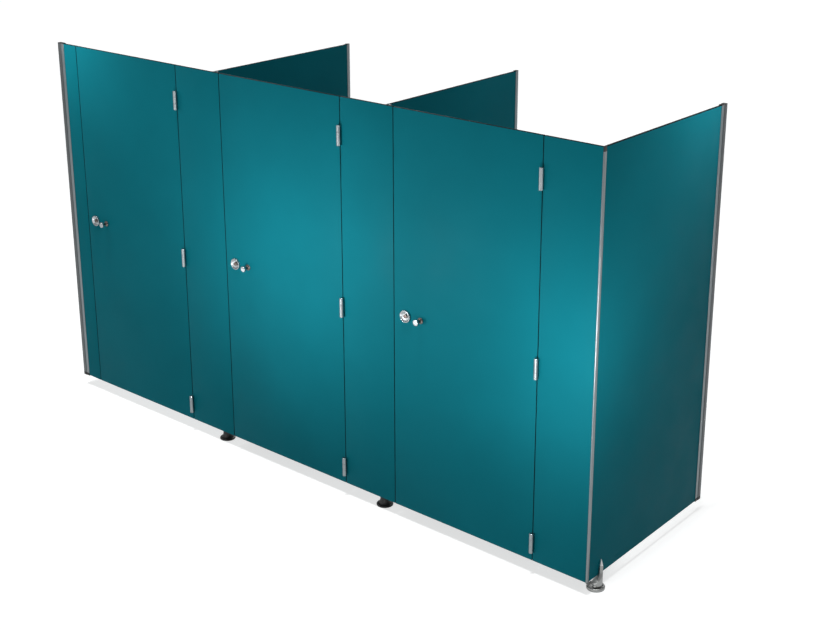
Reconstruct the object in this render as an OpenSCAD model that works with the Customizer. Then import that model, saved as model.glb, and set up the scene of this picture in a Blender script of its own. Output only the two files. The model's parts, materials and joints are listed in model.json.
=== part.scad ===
// Row of three toilet cubicles in compact laminate, for the corner of a room.
// X runs along the front from the left wall, Y runs towards the rear wall (Y = 0), Z is up from the floor.
// The front faces -Y. Millimetres.

/* [Row] */
// Height of the boards
panel_height = 1935; // [1700:5:2200]
// Gap between the floor and the boards
floor_gap = 65; // [62:1:70]
// Distance from the rear wall to the front face
row_depth = 980; // [800:10:1600]
// Thickness of the compact laminate boards
board = 13; // [12:0.5:13]
// Gap along each door
joint_gap = 3; // [3:0.5:4]
// Distance between the joints on both sides of a door
door_bay = 800; // [600:10:900]
// Distance between two doors across a pilaster
pilaster_bay = 318; // [220:2:400]
// Distance from the last door to the outer corner
end_bay = 288; // [200:2:400]
// Distance from the left wall to the first door
left_bay = 151; // [120:1:300]
// Distance from a partition's centre to the door joint on its right
partition_offset = 48; // [46:1:60]

/* [Hinges] */
// Height of a hinge barrel with its caps
hinge_height = 97; // [90:1:110]
// Diameter of the hinge barrel
barrel_d = 20; // [18:1:22]
// Diameter of the hinge pin
hinge_pin_d = 8; // [6:0.5:8]
// Height of the lowest hinge above the board's lower edge
hinge_low = 92; // [80:1:150]
// Height of the middle hinge above the board's lower edge
hinge_middle = 924; // [800:1:1000]
// Height of the upper hinge above the board's lower edge
hinge_high = 1757; // [1550:1:1760]

/* [Knob and lock] */
// Height of the lock and of the pull knob above the floor
lock_z = 1040; // [950:1:1100]
// Distance of the lock from the latch joint
lock_in = 70; // [62:1:90]
// Diameter of the lock's rosette
rosette_d = 58; // [50:1:60]
// Distance of the pull knob from the latch joint
knob_in = 157; // [145:1:180]
// Diameter of the outer pull knob
knob_d = 30; // [28:1:40]
// Projection of the outer pull knob
knob_out = 39; // [34:1:60]
// Travel of the lock's bolt
bolt_travel = 22; // [20:0.5:23]

/* [Feet] */
// Diameter of the foot plates
foot_d = 82; // [70:1:90]
// Distance of the black feet behind the front face
foot_back = 50; // [48:1:60]
// Distance of the black feet from the partition's centre
foot_aside = 62; // [60:1:90]
// Distance of the end foot behind the front face
end_foot_back = 84; // [60:1:120]

/* [Hidden] */
$fn = 64;

// Colours
teal = "#0E6E7C";
aluminium = "#A4A9AC";
steel = "#C9CED1";
dark_steel = "#7C7C7A";
black = "#1A1A1A";

// Places along the row
function latch_x(k) = left_bay + (k - 1) * (door_bay + pilaster_bay);
function hinge_x(k) = latch_x(k) + door_bay;
function partition_x(k) = latch_x(k + 1) - partition_offset;
row_length = hinge_x(3) + end_bay;
y_front = -row_depth;
y_inner = y_front + board;
y_mid = y_front + board / 2;
low_z = floor_gap;
top_z = floor_gap + panel_height;
half_gap = joint_gap / 2;
end_x = row_length - board / 2;

// Boards
edge_chamfer = 0.8;

// Aluminium profiles
slot_play = 0.1;
cover_wall = 1.6;
cover_width = board + 2 * slot_play + 2 * cover_wall;
cover_reach = 46;
cover_start = 4;
base_wall = 1.8;
single_wall = 1.6;
base_width = cover_width + 2 * slot_play + 2 * base_wall;
base_depth = 23;
rear_depth = 20;
board_start = 16;
rear_board_start = 3;
profile_depth = 22;
cap_skirt = 14;
cap_lip = 3;
post_x = 6;
post_y = board + 2;
post_wall = 2;
post_flange = 24;
post_round = 4;
post_cap = 20;
wall_screw_r = 2.75;
wall_screw_pitch = 520;
wall_screw_mid = low_z + panel_height / 2;

// Screws
screw_r = 2;
screw_play = 0.1;
screw_head_r = 4.3;
screw_sink = 2.2;
screw_bite = 9;
flange_screws = 4;
function flange_z(i) = low_z + 140 + i * (panel_height - 280) / (flange_screws - 1);

// Hinges: the barrel stands in front of the joint, and both leaves reach through it to the inner face
barrel_r = barrel_d / 2;
pin_r = hinge_pin_d / 2;
running_play = 0.05;
face_play = 0.3;
axis_y = y_front - barrel_r - face_play;
hinge_cap = 2;
knuckle_play = 0.4;
knuckle = (hinge_height - 2 * hinge_cap - 2 * knuckle_play) / 3;
leaf = 2.4;
leaf_width = 44;
leaf_y = y_inner - axis_y;
leaf_screw_in = 28;
leaf_screw_pitch = 30;
function hinge_z(i) = low_z + [hinge_low, hinge_middle, hinge_high][i];

// Lock
cam_r = bolt_travel / sqrt(2);
cam_offset = bolt_travel / 2;
cam_pin_r = 2.5;
cam_plate_r = cam_r + cam_pin_r + 1;
spindle_r = 4.5;
rosette_rim = 10;
rosette_floor = 3.6;
rosette_floor_r = 11;
lock_neck_r = 7;
lock_knob_r = 10;
lock_knob_out = 8;
coin_slot = 1.8;
door_bore_r = 9;
case_in = 6;
case_height = 48.8;
case_wall = 2;
case_lug = 16;
case_depth = 18;
case_round = 5;
bolt_y = 4;
bolt_t = 6;
bolt_half = 22;
bolt_play = 0.4;
nose_half = 8;
nose_tip = 5;
nose_taper = 2;
yoke_left = 13;
yoke_right = 19;
case_room_end = lock_in + yoke_right + 5;
case_width = case_room_end + case_lug - case_in;
spindle_end = 15;
turn_neck_r = 9;
turn_out = 24;
keeper_x0 = -34;
keeper_x1 = -6;
keeper_t = 2.5;
keeper_foot = 20;
stop_z = [low_z + 250, top_z - 250];
case_screws = [[case_in + 8, 16], [case_in + 8, -16], [case_in + case_width - 8, 0]];

// Feet
stem_r = 5;
bell_top = 52;
bell_top_r = 22;
bell_hole = 12;
boss_r = 13;
boss_low = 64;
boss_high = 106;
bracket_w = 70;
bracket_low = 75;
bracket_high = 150;
bracket_t = 5;
bracket_rib = 5;
nut_af = 17;
end_plate_r = foot_d / 2;
shell_low = 20;
shell_high = 143;
shell_r = 24;
shell_x = 5;
shell_y = 2.5;
flank_low = 26;
flank_high = 81;
column_r = 9.5;
column_x = 15;
column_y = 12.5;
column_high = 110;
end_stem_low = 4.2;
end_stem_high = 40;
end_foot_x = end_x;
end_foot_y = y_front + end_foot_back;
foot_y = y_front + foot_back;
function foot_x(k) = partition_x(k) - foot_aside;

// ---------- boards ----------

// Outline of a board seen from above, with broken edges
module board_outline(length, width) {
    c = edge_chamfer;
    polygon([[c, 0], [length - c, 0], [length, c], [length, width - c],
             [length - c, width], [c, width], [0, width - c], [0, c]]);
}

// Board of the front, from x0 to x1
module front_board(x0, x1) {
    translate([x0, y_front, low_z])
        linear_extrude(panel_height) board_outline(x1 - x0, board);
}

// Board that runs back from the front, with its centre at xc
module deep_board(xc, y0, y1) {
    translate([xc - board / 2, y0, low_z])
        linear_extrude(panel_height) board_outline(board, y1 - y0);
}

module filler_panel() {
    color(teal) front_board(board_start, latch_x(1) - half_gap);
}

module pilaster(k) {
    right = k == 3 ? row_length - post_x : latch_x(k + 1) - half_gap;
    color(teal) front_board(hinge_x(k) + half_gap, right);
}

module partition(k) {
    color(teal) deep_board(partition_x(k), y_inner + base_wall + 0.2, -rear_board_start);
}

module end_panel() {
    color(teal) deep_board(end_x, y_front + post_y, -board_start);
}

// ---------- aluminium profiles ----------

// Section of a U that opens towards +X, with its web at x = 0
module u_section(depth, width, wall) {
    difference() {
        translate([0, -width / 2]) square([depth, width]);
        translate([wall, -width / 2 + wall]) square([depth, width - 2 * wall]);
    }
}

// Holes for the four wall screws, along +X through the web
module wall_screw_holes() {
    for (i = [-1.5 : 1.5])
        translate([-1, 0, wall_screw_mid + i * wall_screw_pitch])
            rotate([0, 90, 0]) cylinder(h = base_wall + 2, r = wall_screw_r);
}

// Holes through one flange for the screws that hold the board, on the side given by side
module flange_holes(x, side) {
    for (i = [0 : flange_screws - 1])
        translate([x, side * board / 2, flange_z(i)])
            rotate([-90 * side, 0, 0]) cylinder(h = 6, r = screw_r + screw_play);
}

// Wall channel: its web lies on the wall at x = 0
module base_channel() {
    difference() {
        translate([0, 0, low_z + cap_skirt])
            linear_extrude(panel_height - cap_skirt) u_section(base_depth, base_width, base_wall);
        wall_screw_holes();
    }
}

// Cover channel, which slides in the wall channel and grips the board
module cover_channel(side) {
    difference() {
        translate([cover_start, 0, low_z + cap_skirt])
            linear_extrude(panel_height - cap_skirt)
                u_section(cover_reach - cover_start, cover_width, cover_wall);
        wall_screw_access();
        flange_holes(cover_reach - 9, side);
    }
}

// Holes in the cover's web in line with the wall screws, for the screwdriver
module wall_screw_access() {
    for (i = [-1.5 : 1.5])
        translate([cover_start - 1, 0, wall_screw_mid + i * wall_screw_pitch])
            rotate([0, 90, 0]) cylinder(h = cover_wall + 2, r = 5);
}

// Single channel for a partition's rear edge
module single_channel(side) {
    difference() {
        translate([0, 0, low_z + cap_skirt])
            linear_extrude(panel_height - cap_skirt) u_section(rear_depth, cover_width, single_wall);
        wall_screw_holes();
        flange_holes(rear_depth - 7, side);
    }
}

// Places a channel that is drawn along +X on the left wall, or on the rear wall at x
module on_left_wall() { translate([0, y_mid, 0]) children(); }
module on_rear_wall(x) { translate([x, 0, 0]) rotate([0, 0, -90]) children(); }

module left_wall_channel() { color(aluminium) on_left_wall() base_channel(); }
module left_channel_cover() { color(aluminium) on_left_wall() cover_channel(1); }
module end_wall_channel() { color(aluminium) on_rear_wall(end_x) base_channel(); }
module end_channel_cover() { color(aluminium) on_rear_wall(end_x) cover_channel(-1); }
module rear_wall_channel(k) { color(aluminium) on_rear_wall(partition_x(k)) single_channel(-1); }

// Outline of the two nested channels seen from above
module nested_outline() {
    translate([0, -base_width / 2]) square([base_depth, base_width]);
    translate([0, -cover_width / 2]) square([cover_reach, cover_width]);
}

module single_outline() {
    translate([0, -cover_width / 2]) square([rear_depth, cover_width]);
}

// Foot cap that closes a channel's lower end and carries the board's corner
module lower_cap(start) {
    difference() {
        translate([0, 0, low_z - cap_lip]) linear_extrude(cap_lip + cap_skirt) children();
        translate([start - 0.3, -board / 2 - slot_play, low_z])
            cube([cover_reach, board + 2 * slot_play, cap_skirt + 1]);
    }
}

// Thin cap on a channel's upper end
module upper_cap() {
    translate([0, 0, top_z]) linear_extrude(cap_lip) children();
}

// Section of the corner post, with the outer corner at the origin
module post_tube_outline() {
    difference() {
        translate([-post_x, 0]) square([post_x, post_y]);
        translate([-post_round, 0]) square([post_round, post_round]);
    }
    translate([-post_round, post_round]) intersection() {
        circle(r = post_round);
        translate([0, -post_round]) square([post_round, post_round]);
    }
}

module corner_place(z) { translate([row_length, y_front, z]) children(); }

module corner_post() {
    height = panel_height - post_cap;
    color(aluminium) difference() {
        corner_place(low_z) linear_extrude(height) {
            difference() {
                post_tube_outline();
                translate([post_wall - post_x, post_wall])
                    square([post_x - 2 * post_wall, post_y - 2 * post_wall]);
            }
            translate([-post_x - post_flange, board]) square([post_flange, post_wall]);
            translate([-board - post_wall, board]) square([post_wall, post_flange + post_wall]);
        }
        for (i = [0 : flange_screws - 1]) {
            corner_place(flange_z(i) - 20) translate([-post_x - post_flange + 8, board - 1, 0])
                rotate([-90, 0, 0]) cylinder(h = post_wall + 2, r = screw_r + screw_play);
            corner_place(flange_z(i) - 20) translate([-board + 1, board + post_flange - 6, 0])
                rotate([0, -90, 0]) cylinder(h = post_wall + 2, r = screw_r + screw_play);
        }
    }
}

module corner_caps() {
    corner_place(top_z - post_cap) {
        linear_extrude(post_cap + 1) post_tube_outline();
        translate([-post_x / 2, post_y / 2, post_cap])
            intersection() {
                cylinder(h = cap_lip, r1 = 11, r2 = 5);
                translate([-post_x / 2, -post_y / 2, 0]) cube([post_x, post_y, cap_lip]);
            }
    }
    corner_place(low_z - cap_lip) linear_extrude(cap_lip) post_tube_outline();
}

module profile_caps() {
    color(black) {
        on_left_wall() { lower_cap(board_start) nested_outline(); upper_cap() nested_outline(); }
        on_rear_wall(end_x) { lower_cap(board_start) nested_outline(); upper_cap() nested_outline(); }
        for (k = [1, 2]) on_rear_wall(partition_x(k)) {
            lower_cap(rear_board_start) single_outline();
            upper_cap() single_outline();
        }
        corner_caps();
    }
}

module on_pilaster(k) { translate([partition_x(k), y_inner, 0]) rotate([0, 0, 90]) children(); }

// U-profiles that join the partitions to the pilasters' inner faces
module partition_profiles() {
    color(aluminium) for (k = [1, 2]) on_pilaster(k) difference() {
        translate([0, 0, low_z]) linear_extrude(panel_height)
            u_section(profile_depth, board + 2 * slot_play + 2 * base_wall, base_wall);
        flange_holes(profile_depth - 8, 1);
    }
}

// ---------- screws ----------

// Countersunk screw, its head flush with z = 0 and its shank along -Z
module sunk_screw(length) {
    rotate_extrude()
        polygon([[0, 0], [screw_head_r, 0], [screw_r, -screw_sink], [screw_r, -length], [0, -length - 2]]);
}

// Countersunk hole for that screw
module sunk_hole(length) {
    play = screw_play;
    rotate_extrude() polygon([[0, 1], [screw_head_r + 1 + play, 1], [screw_head_r + play, 0],
                              [screw_r + play, -screw_sink], [screw_r + play, -length], [0, -length]]);
}

// Pan-head screw that sits on z = 0, its shank along -Z
module pan_screw(length) {
    rotate_extrude() polygon([[0, 2.6], [1.6, 2.5], [3, 2], [3.8, 1.1], [4, 0],
                              [screw_r, 0], [screw_r, -length], [0, -length - 2]]);
}

// Screws through one flange of a channel drawn along +X
module flange_screw_row(x, wall, side) {
    for (i = [0 : flange_screws - 1])
        translate([x, side * (board / 2 + slot_play + wall), flange_z(i)])
            rotate([-90 * side, 0, 0]) pan_screw(wall + slot_play + screw_bite - 3);
}

module corner_post_screws() {
    for (i = [0 : flange_screws - 1]) {
        corner_place(flange_z(i) - 20) translate([-post_x - post_flange + 8, board + post_wall, 0])
            rotate([-90, 0, 0]) pan_screw(post_wall + screw_bite - 2);
        corner_place(flange_z(i) - 20) translate([-board - post_wall, board + post_flange - 6, 0])
            rotate([0, -90, 0]) pan_screw(post_wall + screw_bite - 2);
    }
}

module bracket_screw_places() {
    for (dx = [-1, 1], z = [bracket_low + 32, bracket_high - 10])
        translate([dx * (bracket_w / 2 - 9), y_inner + bracket_t, z]) rotate([-90, 0, 0]) children();
}

// Screws of the covers, channels, profiles, corner post and foot brackets
module profile_screws() {
    color(steel) {
        on_left_wall() flange_screw_row(cover_reach - 9, cover_wall, 1);
        on_rear_wall(end_x) flange_screw_row(cover_reach - 9, cover_wall, -1);
        for (k = [1, 2]) {
            on_rear_wall(partition_x(k)) flange_screw_row(rear_depth - 7, single_wall, -1);
            on_pilaster(k) flange_screw_row(profile_depth - 8, base_wall, 1);
            translate([foot_x(k), 0, 0]) bracket_screw_places() pan_screw(bracket_t + screw_bite);
        }
        corner_post_screws();
    }
}

// Screws of the hinges' frame leaves, the keepers and the stops
module hardware_screws() {
    color(steel) for (k = [1 : 3]) {
        for (i = [0 : 2]) hinge_place(k, i) leaf_screw_places(1) sunk_screw(leaf + screw_bite);
        keeper_place(k) keeper_screw_places() pan_screw(keeper_t + screw_bite);
        for (z = stop_z) stop_place(k, z) stop_screw_place() pan_screw(6 + screw_bite);
    }
}

// ---------- hinges ----------

module hinge_place(k, i) {
    translate([hinge_x(k), axis_y, hinge_z(i)]) children();
}

// Screw places of a leaf: side is 1 on the pilaster and -1 on the door
module leaf_screw_places(side) {
    for (dz = [-1 : 1])
        translate([side * (leaf_screw_in + (dz == 0 ? 8 : 0)), leaf_y + leaf, dz * leaf_screw_pitch])
            rotate([-90, 0, 0]) children();
}

// Knuckle with the strap that reaches back through the joint
module knuckle_arm(side, z0, height) {
    translate([0, 0, z0]) {
        cylinder(h = height, r = barrel_r);
        translate([side > 0 ? half_gap - leaf : -half_gap, barrel_r - 4, 0])
            cube([leaf, leaf_y + leaf - barrel_r + 4, height]);
    }
}

// Plate on the inner face, with round outer corners
module leaf_plate(side) {
    plate_h = hinge_height - 6;
    round_r = 6;
    translate([0, leaf_y + leaf, 0]) rotate([90, 0, 0]) linear_extrude(leaf) union() {
        for (dz = [-1, 1])
            translate([side * (leaf_width - round_r), dz * (plate_h / 2 - round_r)]) circle(r = round_r);
        translate([side > 0 ? half_gap : -(leaf_width - round_r), -plate_h / 2])
            square([leaf_width - round_r - half_gap, plate_h]);
        translate([side > 0 ? half_gap : -leaf_width, -plate_h / 2 + round_r])
            square([leaf_width - half_gap, plate_h - 2 * round_r]);
    }
}

module frame_leaf() {
    first = -hinge_height / 2 + hinge_cap;
    difference() {
        union() {
            knuckle_arm(1, first, knuckle);
            knuckle_arm(1, -first - knuckle, knuckle);
            leaf_plate(1);
        }
        translate([0, 0, -hinge_height]) cylinder(h = 2 * hinge_height, r = pin_r + running_play);
        leaf_screw_places(1) sunk_hole(leaf + 2);
    }
}

module door_leaf() {
    difference() {
        union() {
            knuckle_arm(-1, -knuckle / 2, knuckle);
            leaf_plate(-1);
        }
        translate([0, 0, -hinge_height]) cylinder(h = 2 * hinge_height, r = pin_r + running_play);
        leaf_screw_places(-1) sunk_hole(leaf + 2);
    }
}

module frame_leaves(k) {
    color(steel) for (i = [0 : 2]) hinge_place(k, i) frame_leaf();
}

module door_leaves(k) {
    color(steel) for (i = [0 : 2]) hinge_place(k, i) door_leaf();
}

// Pin with a domed cap at both ends
module hinge_pin() {
    half = hinge_height / 2;
    rotate_extrude() polygon(concat(
        [[0, -half], [barrel_r - 2.5, -half], [barrel_r - 0.8, -half + 0.6], [barrel_r, -half + hinge_cap],
         [pin_r, -half + hinge_cap], [pin_r, half - hinge_cap]],
        [[barrel_r, half - hinge_cap], [barrel_r - 0.8, half - 0.6], [barrel_r - 2.5, half], [0, half]]));
}

module hinge_pins() {
    color(steel) for (k = [1 : 3], i = [0 : 2]) hinge_place(k, i) hinge_pin();
}

// ---------- doors ----------

module door_panel(k) {
    color(teal) difference() {
        front_board(latch_x(k) + half_gap, hinge_x(k) - half_gap);
        translate([latch_x(k) + knob_in, y_inner + 1, lock_z])
            rotate([90, 0, 0]) cylinder(h = board + 2, r = 3.2);
        translate([latch_x(k) + lock_in, y_inner + 1, lock_z])
            rotate([90, 0, 0]) cylinder(h = board + 2, r = door_bore_r);
    }
}

// Z points out of the door's outer face
module outside(k, dx, z) {
    translate([latch_x(k) + dx, y_front, z]) rotate([90, 0, 0]) children();
}

// Z points out of the door's inner face
module inside(k, dx, z) {
    translate([latch_x(k) + dx, y_inner, z]) rotate([-90, 0, 0]) children();
}

// Outer pull knob: flange, slim neck and a thick round head
module outer_pull_knob() {
    r = knob_d / 2;
    out = knob_out;
    rotate_extrude() polygon([[0, -board - 8], [3, -board - 8], [3, 0], [r - 1, 0], [r, 1], [r, 3], [r - 2, 4.8],
        [8.5, 6], [7, 8.5], [7, out - 21], [8.5, out - 16.5], [12, out - 13.5], [r - 0.6, out - 11.5],
        [r, out - 10], [r, out - 4], [r - 1.2, out - 1.4], [r - 4, out - 0.3], [0, out]]);
}

// Plain mushroom knob on the inner face, bored for the bolt of the outer one
module inner_pull_knob() {
    rotate_extrude() polygon([[3.05, 0], [11, 0], [11, 3], [8, 5], [7.5, 14], [12, 20], [19, 23],
                              [20, 26], [18, 29], [10, 31], [0, 31.5], [0, 9], [3.05, 9]]);
}

module pull_knobs(k) {
    color(steel) {
        outside(k, knob_in, lock_z) outer_pull_knob();
        inside(k, knob_in, lock_z) inner_pull_knob();
    }
}

// Outer rosette of the lock: rolled rim round a shallow dish, and a sleeve in the door's hole
module lock_rose(k) {
    bore_r = lock_neck_r + running_play;
    r = rosette_d / 2;
    dish_r = r - 3.5;
    dish = [for (i = [0 : 6]) let (share = 1 - i / 6)
            [rosette_floor_r + (dish_r - rosette_floor_r) * share,
             rosette_floor + (rosette_rim - 0.4 - rosette_floor) * share * share]];
    color(dark_steel) outside(k, lock_in, lock_z) rotate_extrude($fn = 96)
        polygon(concat([[bore_r, -board - 0.5], [door_bore_r - 0.1, -board - 0.5], [door_bore_r - 0.1, 0], [r, 0],
            [r, rosette_rim - 3], [r - 0.7, rosette_rim - 1], [r - 2, rosette_rim]], dish, [[bore_r, rosette_floor]]));
}

// Emergency release in the rosette: domed button with a coin slot, on the spindle that drives the thumb turn
module lock_knob(k) {
    r = lock_knob_r;
    out = lock_knob_out;
    color(steel) outside(k, lock_in, lock_z) difference() {
        rotate_extrude() polygon([[0, -board - spindle_end], [spindle_r, -board - spindle_end],
            [spindle_r, -board - 1], [lock_neck_r, -board - 1], [lock_neck_r, rosette_floor + 0.4],
            [r, rosette_floor + 0.4], [r, out - 1.8], [r - 1, out - 0.6], [r - 4, out], [0, out]]);
        translate([-coin_slot / 2, -r - 1, out - 2]) cube([coin_slot, 2 * r + 2, 3]);
    }
}

// Lock case on the door's inner face, open towards the door, with a mouth for the bolt's nose
module lock_case(k) {
    lug_end = case_in + case_lug;
    way = 2 * (nose_half + bolt_play);
    color(steel) difference() {
        translate([latch_x(k), y_inner, lock_z]) difference() {
            translate([case_in, 0, -case_height / 2])
                case_block(case_width, case_depth, case_height, case_round);
            translate([lug_end, -1, case_wall - case_height / 2])
                cube([case_room_end - lug_end, case_depth - case_wall + 1, case_height - 2 * case_wall]);
            translate([case_in - 1, bolt_y - bolt_play, -way / 2])
                cube([case_lug + 2, bolt_t + 2 * bolt_play, way]);
        }
        inside(k, lock_in, lock_z) cylinder(h = case_depth + 1, r = turn_neck_r + running_play);
        case_screw_places(k) sunk_hole(case_depth + 1);
    }
}

// Block with round vertical edges, its corner at the origin
module case_block(width, depth, height, r) {
    translate([0, depth, 0]) rotate([90, 0, 0]) linear_extrude(depth) union() {
        translate([r, 0]) square([width - 2 * r, height]);
        translate([0, r]) square([width, height - 2 * r]);
        for (x = [r, width - r], z = [r, height - r]) translate([x, z]) circle(r = r);
    }
}

module case_screw_places(k) {
    for (place = case_screws)
        translate([latch_x(k) + place[0], y_inner + case_depth, lock_z + place[1]])
            rotate([-90, 0, 0]) children();
}

// Inner thumb turn: grip, neck, cam plate and the eccentric pin that drives the bolt
module thumb_turn(k) {
    cam_z = bolt_y + bolt_t + 1;
    neck_top = case_depth + 5;
    color(steel) inside(k, lock_in, lock_z) difference() {
        union() {
            translate([0, 0, cam_z]) cylinder(h = 3, r = cam_plate_r);
            translate([cam_offset, -cam_offset, bolt_y - 1]) cylinder(h = 10, r = cam_pin_r);
            translate([0, 0, cam_z]) cylinder(h = neck_top - cam_z, r = turn_neck_r);
            translate([0, 0, case_depth + 0.4]) cylinder(h = 3.6, r = 14);
            thumb_grip(case_depth + 4, turn_out);
        }
        translate([0, 0, cam_z - 1]) cylinder(h = spindle_end - cam_z + 2, r = spindle_r + running_play);
    }
}

// Oval grip with waisted flanks
module thumb_grip(z0, height) {
    translate([0, 0, z0]) linear_extrude(height) difference() {
        union() {
            square([24, 12], center = true);
            for (x = [-12, 12]) translate([x, 0]) circle(r = 6);
        }
        for (y = [-1, 1]) translate([0, y * 28]) circle(r = 24);
    }
}

// Sliding bolt: tapered nose, yoke plate with a slot for the cam pin and an open one for the spindle
module lock_bolt(k) {
    slot_half = cam_pin_r + 0.85;
    slot_low = cam_offset - cam_pin_r - 0.9;
    slot_high = cam_r + cam_pin_r + 0.9;
    spindle_half = spindle_r + 0.6;
    color(dark_steel) translate([latch_x(k), y_inner + bolt_y, lock_z]) difference() {
        union() {
            translate([0, 0, -nose_half]) linear_extrude(2 * nose_half)
                polygon([[nose_tip, nose_taper], [nose_tip + nose_taper, 0], [lock_in - yoke_left + 1, 0],
                         [lock_in - yoke_left + 1, bolt_t], [nose_tip + nose_taper, bolt_t],
                         [nose_tip, bolt_t - nose_taper]]);
            translate([lock_in - yoke_left, 0, -bolt_half])
                cube([yoke_left + yoke_right, bolt_t, 2 * bolt_half]);
        }
        translate([lock_in + cam_offset - slot_half, -1, slot_low])
            cube([2 * slot_half, bolt_t + 2, slot_high - slot_low]);
        translate([lock_in, bolt_t + 1, 0]) rotate([90, 0, 0])
            cylinder(h = bolt_t + 2, r = spindle_half);
        translate([lock_in, -1, -spindle_half]) cube([yoke_right + 1, bolt_t + 2, 2 * spindle_half]);
    }
}

module door_screws(k) {
    color(steel) {
        for (i = [0 : 2]) hinge_place(k, i) leaf_screw_places(-1) sunk_screw(leaf + screw_bite);
        case_screw_places(k) sunk_screw(case_depth + screw_bite);
    }
}

// ---------- keepers and stops ----------

module keeper_place(k) { translate([latch_x(k), y_inner, lock_z]) children(); }

module keeper_screw_places() {
    for (side = [-1, 1])
        translate([(keeper_x0 + keeper_x1) / 2, keeper_t, side * (nose_half + 4 + keeper_foot / 2)])
            rotate([-90, 0, 0]) children();
}

// Hat-shaped strap under which the bolt's nose slides
module keeper() {
    inner_half = nose_half + 2;
    bridge = bolt_y + bolt_t + 2;
    width = keeper_x1 - keeper_x0;
    translate([keeper_x0, 0, 0]) difference() {
        union() {
            for (side = [-1, 1]) {
                translate([0, 0, side > 0 ? inner_half : -inner_half - keeper_foot])
                    cube([width, keeper_t, keeper_foot]);
                translate([0, 0, side > 0 ? inner_half : -inner_half - keeper_t])
                    cube([width, bridge + keeper_t, keeper_t]);
            }
            translate([0, bridge, -inner_half]) cube([width, keeper_t, 2 * inner_half]);
        }
        translate([-keeper_x0, 0, 0]) keeper_screw_places()
            translate([0, 0, -keeper_t - 1]) cylinder(h = keeper_t + 2, r = screw_r + screw_play);
    }
}

module lock_keepers() { color(steel) for (k = [1 : 3]) keeper_place(k) keeper(); }

module stop_place(k, z) { translate([latch_x(k), y_inner, z]) children(); }
module stop_screw_place() { translate([-19, 6, 0]) rotate([-90, 0, 0]) children(); }

// Rubber stop: block on the fixed board and a tongue behind the door's edge
module door_stop() {
    difference() {
        union() {
            translate([-34, 0, -20]) cube([30, 6, 40]);
            translate([-10, face_play, -20]) cube([24, 8, 40]);
        }
        stop_screw_place() translate([0, 0, -8]) cylinder(h = 10, r = screw_r + screw_play);
    }
}

module door_stops() { color(black) for (k = [1 : 3], z = stop_z) stop_place(k, z) door_stop(); }

// ---------- feet ----------

// Bracket on the pilaster's inner face with a boss for the stem
module foot_bracket(k) {
    reach = foot_back - board;
    color(black) translate([foot_x(k), 0, 0]) difference() {
        union() {
            translate([-bracket_w / 2, y_inner, bracket_low])
                cube([bracket_w, bracket_t, bracket_high - bracket_low]);
            translate([0, foot_y, boss_low]) cylinder(h = boss_high - boss_low, r = boss_r);
            translate([-boss_r, y_inner, bracket_low]) cube([2 * boss_r, reach, boss_high - bracket_low]);
            for (side = [-1, 1])
                translate([side * (boss_r + 2) - bracket_rib / 2, y_inner, bracket_low])
                    rotate([90, 0, 90]) linear_extrude(bracket_rib)
                        polygon([[0, 0], [reach, 0], [reach, 16], [bracket_t, bracket_high - bracket_low - 6],
                                 [0, bracket_high - bracket_low - 6]]);
        }
        translate([0, foot_y, boss_low - 1])
            cylinder(h = boss_high - boss_low + 2, r = stem_r + running_play);
        bracket_screw_places() translate([0, 0, -bracket_t - 1])
            cylinder(h = bracket_t + 2, r = screw_r + screw_play);
    }
}

// Bell-shaped base of a black foot
module bell_base() {
    r = foot_d / 2;
    flare = [for (a = [0 : 10 : 90]) [bell_top_r + (r - 3 - bell_top_r) * (1 - sin(a)), 9 + 30 * (1 - cos(a))]];
    rotate_extrude($fn = 96) polygon(concat(
        [[0, 0], [r - 1, 0], [r, 1], [r, 5], [r - 1.5, 7.5]], flare,
        [[bell_top_r, bell_top - 3], [bell_top_r - 3, bell_top], [stem_r + running_play, bell_top],
         [stem_r + running_play, bell_hole], [0, bell_hole]]));
}

// Round plate of the end foot: raised rim round a dish
module dish_base() {
    r = end_plate_r;
    rotate_extrude($fn = 96) polygon([[0, 0], [r - 1.5, 0], [r, 1.5], [r, 8.5], [r - 1.5, 12.2], [r - 5, 14],
        [r - 9, 12.8], [r - 13, 9], [14, 9], [12, 14], [stem_r + running_play, 14], [stem_r + running_play, 4], [0, 4]]);
}

module foot_base(k) {
    if (k < 3) color(black) translate([foot_x(k), foot_y, 0]) bell_base();
    else color(dark_steel) translate([end_foot_x, end_foot_y, 0]) dish_base();
}

// Threaded stem with a lock nut under the bracket
module foot_stem(k) {
    color(steel) if (k < 3) translate([foot_x(k), foot_y, 0]) {
        translate([0, 0, bell_hole + 0.2]) cylinder(h = boss_high + 8 - bell_hole, r = stem_r);
        translate([0, 0, bell_top]) cylinder(h = 5, r = nut_af / sqrt(3), $fn = 6);
    }
    else translate([end_foot_x, end_foot_y, end_stem_low])
        cylinder(h = end_stem_high - end_stem_low, r = stem_r);
}

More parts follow.
